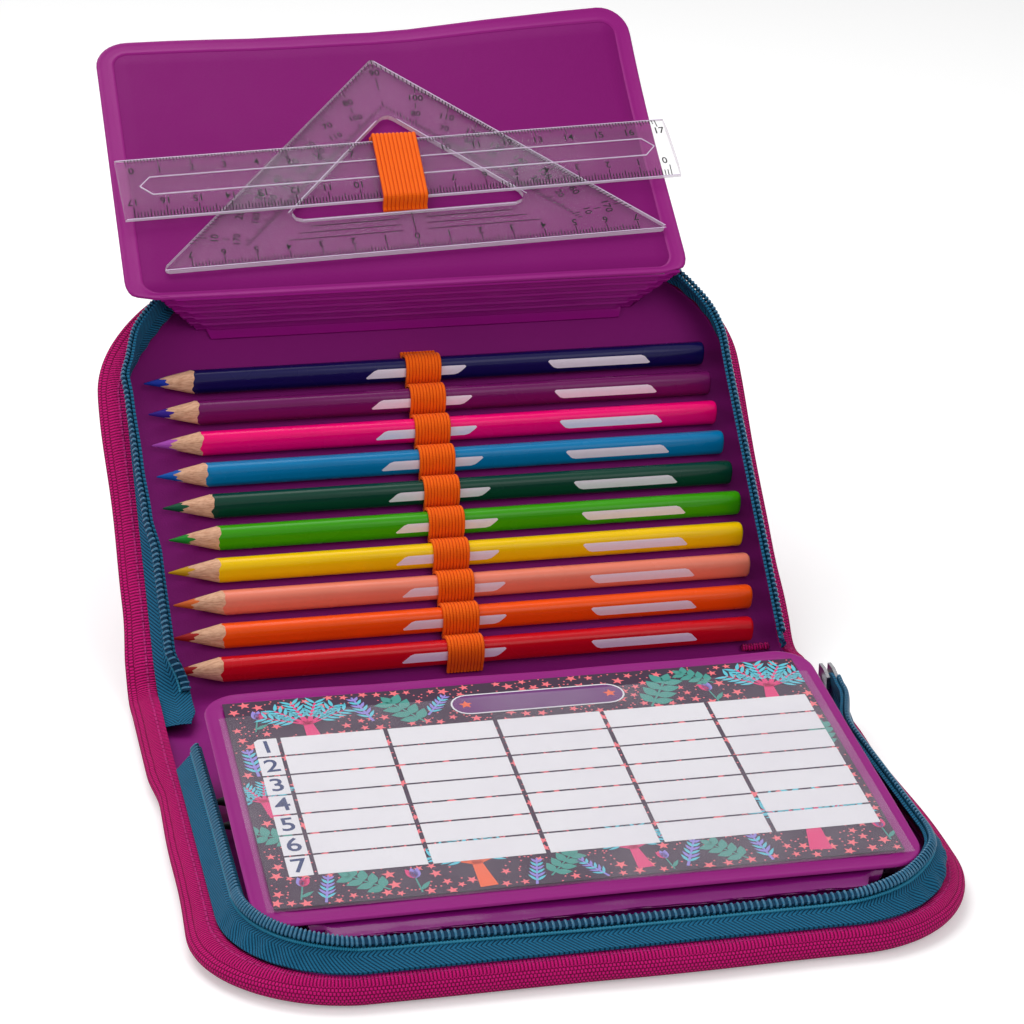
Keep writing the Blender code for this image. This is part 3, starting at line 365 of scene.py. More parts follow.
def oxford_weave(w: Wiring, at: dict[str, bpy.types.NodeSocket]) -> dict[str, bpy.types.NodeSocket]:
    """Coarse plain weave: rounded knots in rows and columns, with uneven yarn.

    Args:
        w: Wiring of the group.
        at: The group's inputs.

    Returns:
        The height of the knots and the mask of the gaps between them, where the finishes paint shade.
    """
    u, v, _ = w.split(at["Vector"])
    drift = w.math(
        "MULTIPLY", w.math("SUBTRACT", w.noise(at["Vector"], 90.0), 0.5), w.math("MULTIPLY", at["Pitch"], 0.5)
    )
    row = w.math("FLOOR", w.math("DIVIDE", w.math("ADD", v, drift), at["Pitch"]))
    shifted = w.math("ADD", u, w.math("MULTIPLY", row, w.math("MULTIPLY", at["Pitch"], 0.5)))
    across = w.wave(w.math("ADD", shifted, drift), at["Pitch"])
    down = w.wave(w.math("ADD", v, drift), at["Pitch"])
    knot = w.math(
        "MULTIPLY", w.math("POWER", across, 0.6), w.remap(w.math("POWER", down, 0.6), 0.0, 1.0, 0.35, 1.0)
    )
    fuzz = w.noise(at["Vector"], 3800.0, 3.0)
    height = w.math("ADD", knot, w.math("MULTIPLY", fuzz, at["Fuzz"]))
    return {"Height": height, "Gap": w.remap(knot, 0.15, 0.90, 1.0, 0.0)}


def cross_ribs(w: Wiring, at: dict[str, bpy.types.NodeSocket]) -> dict[str, bpy.types.NodeSocket]:
    """Fine ribs that run across a strip, each with the twist of its yarn.

    Args:
        w: Wiring of the group.
        at: The group's inputs.

    Returns:
        The height of the ribs and the mask of the grooves, where the finishes paint shade.
    """
    u, v, _ = w.split(at["Vector"])
    drift = w.math(
        "MULTIPLY", w.math("SUBTRACT", w.noise(at["Vector"], 120.0), 0.5),
        w.math("MULTIPLY", at["Pitch"], 0.4),
    )
    rib = w.wave(w.math("ADD", u, drift), at["Pitch"])
    twist = w.wave(w.math("ADD", v, w.math("MULTIPLY", u, 0.6)), w.math("MULTIPLY", at["Pitch"], 0.8))
    height = w.math("ADD", rib, w.math("MULTIPLY", twist, at["Twist"]))
    return {"Height": height, "Gap": w.remap(rib, 0.1, 0.7, 1.0, 0.0)}


def chevron_twill(w: Wiring, at: dict[str, bpy.types.NodeSocket]) -> dict[str, bpy.types.NodeSocket]:
    """Twill whose diagonals turn back at every column, as on a zip's tape.

    Args:
        w: Wiring of the group.
        at: The group's inputs.

    Returns:
        The height of the twill lines and the mask of the grooves, where the finishes paint shade.
    """
    u, v, _ = w.split(at["Vector"])
    slope = w.math("PINGPONG", v, at["Column"])
    line = w.wave(w.math("ADD", u, slope), at["Pitch"])
    yarn = w.wave(v, w.math("MULTIPLY", at["Pitch"], 0.45))
    height = w.math("ADD", line, w.math("MULTIPLY", yarn, 0.25))
    return {"Height": height, "Gap": w.remap(line, 0.1, 0.75, 1.0, 0.0)}


def shade_variation(w: Wiring, at: dict[str, bpy.types.NodeSocket]) -> dict[str, bpy.types.NodeSocket]:
    """A finish's colour, mixed towards a second colour by a mask, such as painted shade in grooves, and
    slightly uneven over the piece.

    Args:
        w: Wiring of the group.
        at: The group's inputs.

    Returns:
        The colour.
    """
    cloud = w.math("MULTIPLY", w.math("SUBTRACT", w.noise(at["Vector"], at["Scale"], 3.0), 0.5), at["Spread"])
    groove = w.math("ADD", at["Groove"], cloud, clamp=True)
    return {"Colour": w.blend(groove, at["Light"], at["Dark"])}


def surface_grain(w: Wiring, at: dict[str, bpy.types.NodeSocket]) -> dict[str, bpy.types.NodeSocket]:
    """Fine grain with faint handling marks, for bump and roughness.

    Args:
        w: Wiring of the group.
        at: The group's inputs.

    Returns:
        The grain's height and the roughness.
    """
    fine = w.noise(at["Vector"], at["Scale"], 4.0)
    broad = w.noise(at["Vector"], w.math("DIVIDE", at["Scale"], 18.0), 2.0)
    height = w.math("ADD", w.math("MULTIPLY", fine, at["Grain"]), w.math("MULTIPLY", broad, at["Waves"]))
    mark = w.math("MULTIPLY", w.math("SUBTRACT", broad, 0.5), at["Handling"])
    return {"Height": height, "Roughness": w.math("ADD", at["Roughness"], mark, clamp=True)}


def stitch_line(w: Wiring, at: dict[str, bpy.types.NodeSocket]) -> dict[str, bpy.types.NodeSocket]:
    """A row of stitches at one distance from the piece's edge.

    Args:
        w: Wiring of the group.
        at: The group's inputs.

    Returns:
        The mask of the thread, and the mask of the strip between the edge and the stitches.
    """
    u, v, _ = w.split(at["Vector"])
    near = w.remap(w.math("ABSOLUTE", w.math("SUBTRACT", v, at["Distance"])), 0.0001, 0.0003, 1.0, 0.0)
    dash = w.remap(w.wave(u, at["Length"]), 0.25, 0.45, 0.0, 1.0)
    return {"Thread": w.math("MULTIPLY", near, dash), "Strip": w.remap(v, 0.0033, 0.0037, 1.0, 0.0)}


def wood_grain(w: Wiring, at: dict[str, bpy.types.NodeSocket]) -> dict[str, bpy.types.NodeSocket]:
    """Streaks of grain that run along x, with short dark flecks.

    Args:
        w: Wiring of the group.
        at: The group's inputs.

    Returns:
        The mask of the darker wood.
    """
    x, y, z = w.split(at["Vector"])
    stretched = w.node("ShaderNodeCombineXYZ")
    w.feed(stretched.inputs[0], w.math("MULTIPLY", x, 0.12))
    w.feed(stretched.inputs[1], y)
    w.feed(stretched.inputs[2], z)
    streak = w.noise(stretched.outputs[0], at["Scale"], 4.0)
    return {"Mask": w.remap(streak, 0.35, 0.7, 0.0, 1.0)}


def build_groups() -> None:
    """Make every shader node group of the case."""
    out = {"Height": "f", "Gap": "f"}
    make_group("oxford_weave", {"Vector": "v", "Pitch": "f", "Fuzz": "f"}, out, oxford_weave)
    make_group("cross_ribs", {"Vector": "v", "Pitch": "f", "Twist": "f"}, out, cross_ribs)
    make_group("chevron_twill", {"Vector": "v", "Pitch": "f", "Column": "f"}, out, chevron_twill)
    shade = {"Vector": "v", "Light": "c", "Dark": "c", "Groove": "f", "Scale": "f", "Spread": "f"}
    make_group("shade_variation", shade, {"Colour": "c"}, shade_variation)
    grain = {"Vector": "v", "Scale": "f", "Grain": "f", "Waves": "f", "Roughness": "f", "Handling": "f"}
    make_group("surface_grain", grain, {"Height": "f", "Roughness": "f"}, surface_grain)
    stitch = {"Vector": "v", "Distance": "f", "Length": "f"}
    make_group("stitch_line", stitch, {"Thread": "f", "Strip": "f"}, stitch_line)
    make_group("wood_grain", {"Vector": "v", "Scale": "f"}, {"Mask": "f"}, wood_grain)


class Paint:
    """One material in the making: its wiring, its Principled shader and its two kinds of coordinates."""

    def __init__(self, name: str, roughness: float, **sockets: Any) -> None:
        """Start a material.

        Args:
            name: Name of the material.
            roughness: Roughness of the shader.
            **sockets: Other values of the shader, with underscores for spaces.
        """
        self.material = bpy.data.materials.new(name)
        self.material.use_nodes = True
        self.wiring = Wiring(self.material.node_tree)
        self.shader = self.material.node_tree.nodes["Principled BSDF"]
        self.roughness = roughness
        self.shader.inputs["Roughness"].default_value = roughness
        self.shader.inputs["Specular IOR Level"].default_value = 0.22
        for key, value in sockets.items():
            self.shader.inputs[key.replace("_", " ")].default_value = value
        places = self.wiring.node("ShaderNodeTexCoord")
        self.uv = places.outputs["UV"]
        self.place = places.outputs["Object"]

    def group(self, name: str, **values: Any) -> bpy.types.Node:
        """Place a node group and set its inputs.

        Args:
            name: Name of the group.
            **values: Inputs of the group.

        Returns:
            The group node.
        """
        made = self.wiring.node("ShaderNodeGroup", node_tree=bpy.data.node_groups[name])
        for key, value in values.items():
            self.wiring.feed(made.inputs[key], value)
        return made

    def colour(
        self, light: Colour, dark: Colour, groove: Any, scale: float = 60.0, spread: float = 0.3
    ) -> Any:
        """Feed the base colour from two tones.

        Args:
            light: Colour on the crests.
            dark: Colour where the mask is full: painted shade in the grooves of cloth and elastic, the painted
                edge highlight of clear plastic, the darker grain of wood and metal.
            groove: Mask of the grooves, edges or grain.
            scale: Scale of the slow variation.
            spread: Strength of the slow variation.

        Returns:
            The colour's socket.
        """
        made = self.group(
            "shade_variation",
            Vector=self.place,
            Light=(*light, 1.0),
            Dark=(*dark, 1.0),
            Groove=groove,
            Scale=scale,
            Spread=spread,
        )
        self.wiring.feed(self.shader.inputs["Base Color"], made.outputs["Colour"])
        return made.outputs["Colour"]

    def bump(self, height: Any, depth: float, strength: float = 1.0) -> None:
        """Feed the normal from a height of 0 to 1 and its depth in metres."""
        made = self.wiring.node("ShaderNodeBump")
        made.inputs["Strength"].default_value = strength
        made.inputs["Distance"].default_value = depth
        self.wiring.feed(made.inputs["Height"], height)
        self.wiring.feed(self.shader.inputs["Normal"], made.outputs["Normal"])

    def grain(self, scale: float, grain: float, waves: float, handling: float, depth: float) -> None:
        """Feed the roughness and the normal from a fine grain with handling marks.

        Args:
            scale: Scale of the grain.
            grain: Height of the grain.
            waves: Height of the broad unevenness.
            handling: Strength of the handling marks in the roughness.
            depth: Depth of both in metres.
        """
        made = self.group(
            "surface_grain", Vector=self.place, Scale=scale, Grain=grain, Waves=waves,
            Roughness=self.roughness, Handling=handling,
        )
        self.wiring.feed(self.shader.inputs["Roughness"], made.outputs["Roughness"])
        self.bump(made.outputs["Height"], depth)


@dataclass(frozen=True)
class CoverCloth:
    """Woven magenta cloth with a ribbed band beside the zip, with painted shade in the gaps of its weave and
    ribs.
    """

    light: Colour = srgb(204, 24, 116)
    # dark: painted shade in the gaps between knots and ribs
    dark: Colour = srgb(84, 2, 44)
    thread: Colour = srgb(206, 50, 132)
    pitch: float = 0.00095
    rib_pitch: float = 0.00092

    def build(self) -> bpy.types.Material:
        """Make the material."""
        paint = Paint("cover_cloth", 0.72, Sheen_Weight=0.02, Sheen_Roughness=0.4, Specular_IOR_Level=0.06)
        w = paint.wiring
        weave = paint.group("oxford_weave", Vector=paint.uv, Pitch=self.pitch, Fuzz=0.22)
        ribs = paint.group("cross_ribs", Vector=paint.uv, Pitch=self.rib_pitch, Twist=0.25)
        seam = paint.group("stitch_line", Vector=paint.uv, Distance=0.0012, Length=0.0026)
        strip, thread = seam.outputs["Strip"], seam.outputs["Thread"]
        gap = w.math(
            "ADD", w.math("MULTIPLY", weave.outputs["Gap"], w.math("SUBTRACT", 1.0, strip)),
            w.math("MULTIPLY", ribs.outputs["Gap"], strip),
        )
        height = w.math(
            "ADD", w.math("MULTIPLY", weave.outputs["Height"], w.math("SUBTRACT", 1.0, strip)),
            w.math("MULTIPLY", ribs.outputs["Height"], strip),
        )
        # The gaps of weave and ribs mix towards the dark colour: painted shade in the grooves.
        cloth = paint.colour(self.light, self.dark, w.math("MULTIPLY", gap, 0.9), 45.0, 0.25)
        w.feed(paint.shader.inputs["Base Color"], w.blend(thread, cloth, (*self.thread, 1.0)))
        paint.bump(w.math("ADD", height, thread), 0.00042)
        return paint.material


@dataclass(frozen=True)
class TapeCloth:
    """Teal zip tape with a herringbone twill, with painted shade in the twill's grooves."""

    light: Colour = srgb(30, 102, 138)
    # dark: painted shade in the twill's grooves
    dark: Colour = srgb(2, 28, 50)
    pitch: float = 0.00125
    column: float = 0.0045

    def build(self) -> bpy.types.Material:
        """Make the material."""
        paint = Paint("zip_tape_cloth", 0.62, Sheen_Weight=0.02, Sheen_Roughness=0.4, Specular_IOR_Level=0.07)
        twill = paint.group("chevron_twill", Vector=paint.uv, Pitch=self.pitch, Column=self.column)
        # The twill's grooves mix towards the dark colour: painted shade.
        paint.colour(
            self.light, self.dark, paint.wiring.math("MULTIPLY", twill.outputs["Gap"], 0.9), 70.0, 0.3
        )
        paint.bump(twill.outputs["Height"], 0.00030)
        return paint.material


@dataclass(frozen=True)
class Elastic:
    """Ribbed elastic: the cords are in the mesh, and the shader adds the thread wound round them and paints
    shade between the cords and in the thread's grooves.
    """

    light: Colour = srgb(255, 108, 6)
    # dark: painted shade between the cords
    dark: Colour = srgb(214, 62, 4)
    pitch: float = 0.00045

    def build(self) -> bpy.types.Material:
        """Make the material."""
        paint = Paint("orange_elastic", 0.60, Sheen_Weight=0.04, Sheen_Roughness=0.4, Specular_IOR_Level=0.15)
        w = paint.wiring
        wound = paint.group("cross_ribs", Vector=paint.uv, Pitch=self.pitch, Twist=0.5)
        _, across, _ = w.split(paint.uv)
        # Mask between the cords, where shade is painted.
        between = w.remap(w.wave(across, 0.001), 0.05, 0.50, 1.0, 0.0)
        paint.colour(
            self.light, self.dark,
            w.math("ADD", between, w.math("MULTIPLY", wound.outputs["Gap"], 0.2), clamp=True), 80.0, 0.2,
        )
        paint.bump(wound.outputs["Height"], 0.00008)
        return paint.material


@dataclass(frozen=True)
class SoftPlastic:
    """Soft plastic sheet with a fine grain and faint handling marks."""

    name: str
    light: Colour
    dark: Colour
    roughness: float = 0.38
    coat: float = 0.25
    grain_scale: float = 2600.0
    grain: float = 0.25
    waves: float = 1.0
    depth: float = 0.00012
    handling: float = 0.18
    gloss: float = 0.10

    def build(self) -> bpy.types.Material:
        """Make the material."""
        paint = Paint(
            self.name, self.roughness, Coat_Weight=self.coat, Coat_Roughness=0.16,
            Specular_IOR_Level=self.gloss,
        )
        paint.colour(self.light, self.dark, 0.0, 24.0, 0.7)
        paint.grain(self.grain_scale, self.grain, self.waves, self.handling, self.depth)
        return paint.material


@dataclass(frozen=True)
class Lacquer:
    """Smooth lacquer or moulded plastic, slightly uneven where it was dipped and handled."""

    name: str
    light: Colour
    roughness: float = 0.30
    coat: float = 0.5
    depth: float = 0.00003

    def build(self) -> bpy.types.Material:
        """Make the material."""
        paint = Paint(
            self.name, self.roughness, Coat_Weight=self.coat, Coat_Roughness=0.10, Specular_IOR_Level=0.14
        )
        paint.colour(self.light, darker(self.light, 0.72), 0.1, 90.0, 0.4)
        paint.grain(1500.0, 0.3, 1.0, 0.15, self.depth)
        return paint.material


@dataclass(frozen=True)
class BareWood:
    """Sharpened pencil wood."""

    light: Colour = srgb(232, 182, 150)
    dark: Colour = srgb(208, 152, 122)

    def build(self) -> bpy.types.Material:
        """Make the material."""
        paint = Paint("pencil_wood", 0.7)
        grain = paint.group("wood_grain", Vector=paint.place, Scale=2200.0)
        paint.colour(self.light, self.dark, grain.outputs["Mask"], 300.0, 0.4)
        paint.bump(grain.outputs["Mask"], 0.00008)
        return paint.material


@dataclass(frozen=True)
class ClearPlastic:
    """Clear moulded plastic: nearly unseen on its flat faces, with a painted highlight along its cut edges and
    its groove, where it is also less clear.
    """

    name: str
    facing: tuple[float, float, float]
    light: Colour = srgb(206, 188, 212)
    # painted highlight colour on the steep faces of cut edges and groove walls
    bright: Colour = srgb(244, 238, 248)
    flat: float = 0.055
    edge: float = 0.75
    roughness: float = 0.12

    def build(self) -> bpy.types.Material:
        """Make the material."""
        paint = Paint(self.name, self.roughness, Coat_Weight=0.5, Coat_Roughness=0.05, Specular_IOR_Level=0.6)
        w = paint.wiring
        level = w.node("ShaderNodeVectorMath", operation="DOT_PRODUCT")
        w.feed(level.inputs[0], w.node("ShaderNodeTexCoord").outputs["Normal"])
        level.inputs[1].default_value = self.facing
        # Mask of the steep faces, which get the painted highlight and more opacity.
        highlight_mask = w.remap(w.math("ABSOLUTE", level.outputs["Value"]), 0.70, 0.93, 1.0, 0.0)
        paint.colour(self.light, self.bright, highlight_mask, 300.0, 0.1)
        w.feed(paint.shader.inputs["Alpha"], w.remap(highlight_mask, 0.0, 1.0, self.flat, self.edge))
        paint.grain(900.0, 0.4, 1.0, 0.2, 0.000004)
        return paint.material


@dataclass(frozen=True)
class PocketFilm:
    """Thin hazy film that lies over the card."""

    haze: Colour = srgb(236, 228, 240)
    cover: float = 0.045

    def build(self) -> bpy.types.Material:
        """Make the material."""
        paint = Paint("pocket_film", 0.16, Coat_Weight=0.3, Coat_Roughness=0.06, Specular_IOR_Level=0.5)
        paint.colour(self.haze, self.haze, 0.0)
        streaks = paint.wiring.noise(paint.place, 30.0, 3.0)
        paint.wiring.feed(
            paint.shader.inputs["Alpha"],
            paint.wiring.remap(streaks, 0.35, 0.75, self.cover * 0.7, self.cover * 1.9),
        )
        paint.grain(420.0, 0.2, 1.0, 0.25, 0.0004)
        return paint.material


@dataclass(frozen=True)
class BrushedMetal:
    """Steel or nickel with fine brush lines along x."""

    name: str
    light: Colour
    roughness: float = 0.28

    def build(self) -> bpy.types.Material:
        """Make the material."""
        paint = Paint(self.name, self.roughness, Metallic=1.0)
        brushed = paint.group("wood_grain", Vector=paint.place, Scale=5200.0)
        paint.colour(self.light, darker(self.light, 0.7), brushed.outputs["Mask"], 150.0, 0.3)
        paint.bump(brushed.outputs["Mask"], 0.00002)
        return paint.material


@dataclass(frozen=True)
class PrintInk:
    """A printed colour, with the fine screen of the print; the same recipe makes the painted edge highlight of
    the clear tools.
    """

    name: str
    light: Colour
    roughness: float = 0.5

    def build(self) -> bpy.types.Material:
        """Make the material."""
        paint = Paint(self.name, self.roughness)
        paint.colour(self.light, darker(self.light, 0.82), 0.0, 900.0, 0.8)
        screen = paint.wiring.noise(paint.place, 4000.0)
        paint.bump(screen, 0.00001)
        return paint.material


@dataclass
class Finishes:
    """Every material of the case, made once."""

    made: dict[str, bpy.types.Material] = field(default_factory=dict)

    def build(self) -> None:
        """Make all the materials."""
        recipes: list[Any] = [
            CoverCloth(), TapeCloth(), Elastic(), BareWood(),
            ClearPlastic("scale_acrylic", (0.0, -0.558, 0.830)), PocketFilm(),
        ]
        recipes += [
            SoftPlastic("purple_lining", srgb(136, 26, 118), srgb(104, 14, 92), 0.50, 0.0, 1900.0, 0.5, 0.6),
            SoftPlastic(
                "flap_panel", srgb(126, 20, 106), srgb(110, 14, 92), 0.46, 0.0, 1500.0, 0.5, 0.6, gloss=0.05
            ),
            SoftPlastic("flap_border", srgb(146, 28, 122), srgb(124, 18, 104), 0.36, 0.0, 1500.0, 0.3, 0.6),
            SoftPlastic(
                "pleat_sheet", srgb(150, 22, 128), srgb(116, 10, 98), 0.24, 0.0, 900.0, 0.1, 0.6, 0.00003,
                0.1, 0.07,
            ),
            # Dark core inside the coil: its dark colour is painted shade between the turns.
            SoftPlastic("zip_core_shade", srgb(10, 52, 80), srgb(6, 36, 60), 0.6, 0.0),
            SoftPlastic(
                "base_pleat_sheet", srgb(122, 16, 108), srgb(92, 8, 84), 0.16, 0.12, 700.0, 0.05, 1.0,
                0.0004, 0.1, 0.14,
            ),
            SoftPlastic("covered_board", srgb(132, 24, 114), srgb(104, 14, 92), 0.50, 0.0, 1900.0, 0.5, 0.6),
            SoftPlastic("scissors_plastic", srgb(92, 34, 26), srgb(60, 20, 16), 0.42, 0.1, 1400.0, 0.5, 0.4),
            Lacquer("zip_coil", srgb(44, 108, 142), 0.28, 0.4),
            Lacquer("zip_cord", srgb(40, 128, 160), 0.45, 0.1),
            Lacquer("lead_core", srgb(58, 58, 62), 0.45, 0.0),
            Lacquer("barrel_graphite_red", srgb(96, 34, 40), 0.30, 0.4),
            Lacquer("barrel_graphite_black", srgb(40, 40, 42), 0.30, 0.4),
            BrushedMetal("blade_steel", (0.60, 0.61, 0.63)),
            BrushedMetal("dark_nickel", (0.33, 0.33, 0.35), 0.32),
            PrintInk("ink_black", srgb(14, 10, 16), 0.5),
            # Painted highlight for the clear tools' edges, laid on as thin strips.
            PrintInk("painted_edge_highlight", srgb(208, 190, 216), 0.3),
            PrintInk("plaque_white", srgb(238, 226, 240), 0.35),
            PrintInk("print_plum", srgb(56, 34, 58)),
            PrintInk("print_white", srgb(229, 227, 232)),
            PrintInk("print_coral", srgb(244, 116, 126)),
            PrintInk("print_teal", srgb(70, 150, 140)),
            PrintInk("print_sky", srgb(96, 196, 214)),
            PrintInk("print_lilac", srgb(150, 136, 214)),
            PrintInk("print_pink", srgb(226, 60, 124)),
            PrintInk("print_orange", srgb(240, 104, 60)),
            PrintInk("print_violet", srgb(104, 44, 112)),
            PrintInk("print_navy", srgb(44, 62, 108)),
        ]
        for name, barrel, lead in PENCILS:
            recipes.append(Lacquer(f"barrel_{name}", barrel, 0.26, 0.10))
            recipes.append(Lacquer(f"lead_{name}", lead, 0.5, 0.05, 0.0001))
        for recipe in recipes:
            material = recipe.build()
            self.made[material.name] = material
        log.info("%d materials", len(self.made))

    def __getitem__(self, name: str) -> bpy.types.Material:
        """Return one material by name."""
        return self.made[name]


PENCILS: tuple[tuple[str, Colour, Colour], ...] = (
    ("navy", srgb(20, 14, 78), srgb(24, 52, 168)),
    ("plum", srgb(112, 18, 92), srgb(58, 30, 150)),
    ("pink", srgb(252, 0, 116), srgb(182, 78, 190)),
    ("blue", srgb(2, 122, 178), srgb(16, 94, 190)),
    ("dark_green", srgb(8, 62, 48), srgb(14, 82, 56)),
    ("green", srgb(60, 158, 6), srgb(30, 140, 44)),
    ("yellow", srgb(248, 200, 0), srgb(214, 160, 22)),
    ("coral", srgb(240, 132, 108), srgb(224, 104, 44)),
    ("orange", srgb(250, 84, 12), srgb(172, 30, 30)),
    ("red", srgb(206, 10, 28), srgb(160, 20, 28)),
)


class MeshDraft:
    """Collects points and faces with a UV map in metres, and turns them into one object."""

    def __init__(self) -> None:
        """Start with nothing in the draft."""
        self.points: list[Vector] = []
        self.faces: list[tuple[int, ...]] = []
        self.marks: list[list[Point2]] = []
        self.slots: list[int] = []

    def add(self, point: Sequence[float]) -> int:
        """Add a point and return its index."""
        self.points.append(Vector(point))
        return len(self.points) - 1

    def face(self, corners: Sequence[int], marks: Optional[list[Point2]] = None, slot: int = 0) -> None:
        """Add a face.

        Args:
            corners: Indices of its points.
            marks: UV of each corner; taken from x and y where left out.
            slot: Index of its material.
        """
        self.faces.append(tuple(corners))
        self.marks.append(marks or [(self.points[i].x, abs(self.points[i].y) + 0.02) for i in corners])
        self.slots.append(slot)

    def strip(
        self,
        rows: Sequence[Sequence[Vector]],
        along: Optional[Sequence[float]] = None,
        across: Optional[Sequence[float]] = None,
        ring: bool = True,
        loop: bool = False,
        cap: bool = True,
        slot: int | Callable[[int, int], int] = 0,
    ) -> list[list[int]]:
        """Skin rows of points with quads.

        Args:
            rows: Rows of equally many points.
            along: Distance of each row; measured where left out.
            across: Distance of each point in a row, with one more where the rows are rings.
            ring: Whether each row closes on itself.
            loop: Whether the last row joins the first.
            cap: Whether the first and last rows are filled.
            slot: Material index, or a function of row and column that returns it.

        Returns:
            The indices of the points, row by row.
        """
        count = len(rows[0])
        if along is None:
            along = [0.0]
            for low, high in zip(rows, rows[1:]):
                along.append(along[-1] + sum((b - a).length for a, b in zip(low, high)) / count)
        if across is None:
            across = [0.0]
            middle = list(rows[len(rows) // 2])
            for a, b in zip(middle, middle[1:] + middle[:1]):
                across.append(across[-1] + (b - a).length)
        indices = [[self.add(point) for point in row] for row in rows]
        last = len(rows) if loop else len(rows) - 1
        far = list(along) + [2 * along[-1] - along[-2]]
        for r in range(last):
            low, high = indices[r], indices[(r + 1) % len(rows)]
            for c in range(count if ring else count - 1):
                d = (c + 1) % count
                marks = [
                    (far[r], across[c]), (far[r], across[c + 1]), (far[r + 1], across[c + 1]),
                    (far[r + 1], across[c]),
                ]
                self.face((low[c], low[d], high[d], high[c]), marks, slot(r, c) if callable(slot) else slot)
        if ring and cap and not loop:
            self.face(indices[0][::-1], None, slot(0, 0) if callable(slot) else slot)
            self.face(indices[-1], None, slot(last - 1, 0) if callable(slot) else slot)
        return indices

    def tube(
        self,
        path: Sequence[Vector],
        radius: float | Sequence[float],
        sides: int = 8,
        closed: bool = False,
        slot: int = 0,
    ) -> None:
        """Sweep a circle along a path.

        Args:
            path: Points of the middle line.
            radius: Radius, or one for each point.
            sides: Corners of the circle.
            closed: Whether the path closes on itself.
            slot: Material index.
        """
        radii = [radius] * len(path) if isinstance(radius, (int, float)) else list(radius)
        count = len(path)
        normal = Vector((0.0, 0.0, 1.0))
        rows = []
        for i, point in enumerate(path):
            before = path[i - 1] if i or closed else path[0]
            after = path[(i + 1) % count] if i < count - 1 or closed else path[-1]
            tangent = (after - before).normalized()
            if abs(tangent.dot(normal)) > 0.98:
                normal = Vector((1.0, 0.0, 0.0)) if abs(tangent.x) < 0.9 else Vector((0.0, 1.0, 0.0))
            normal = (normal - tangent * normal.dot(tangent)).normalized()
            side = tangent.cross(normal)
            turns = [2 * math.pi * k / sides for k in range(sides)]
            rows.append([point + (normal * math.cos(t) + side * math.sin(t)) * radii[i] for t in turns])
        self.strip(rows, loop=closed, slot=slot)

    def polygon(self, points: Sequence[Sequence[float]], slot: int = 0) -> None:
        """Add one flat face from its corner points."""
        self.face([self.add(point) for point in points], None, slot)

    def finish(
        self,
        name: str,
        materials: Sequence[bpy.types.Material],
        frame: Optional[Matrix] = None,
        smooth: float = 40.0,
        closed: bool = True,
    ) -> bpy.types.Object:
        """Make the object.

        Args:
            name: Name of the piece.
            materials: Its materials, in the order of the slots.
            frame: Where its own frame stands.
            smooth: Edges sharper than this many degrees stay sharp.
            closed: Whether its faces are turned outwards.

        Returns:
            The new object, in the frame of the whole case.
        """
        mesh = bpy.data.meshes.new(name)
        mesh.from_pydata([tuple(point) for point in self.points], [], self.faces)
        layer = mesh.uv_layers.new(name="metres")
        flat = [value for marks in self.marks for mark in marks for value in mark]
        layer.data.foreach_set("uv", flat)
        mesh.polygons.foreach_set("material_index", self.slots)
        for material in materials:
            mesh.materials.append(material)
        if frame is not None:
            mesh.transform(frame)
        if closed:
            body = bmesh.new()
            body.from_mesh(mesh)
            bmesh.ops.recalc_face_normals(body, faces=body.faces)
            body.to_mesh(mesh)
            body.free()
        mesh.shade_smooth()
        mesh.set_sharp_from_angle(angle=math.radians(smooth))
        mesh.update()
        made = bpy.data.objects.new(name, mesh)
        bpy.context.scene.collection.objects.link(made)
        return made


@dataclass(frozen=True)
class Station:
    """A place on a leaf's open rim."""

    point: Vector
    inward: Vector
    length: float
    bend: float
    collar: float = 0.0

    def at(self, inset: float, height: float) -> Vector:
        """A point set in from the rim's outermost line, at a height above the lining."""
        place = self.point + self.inward * inset * (1 + self.collar / SIZES.roll)
        return Vector((place.x, place.y, height))


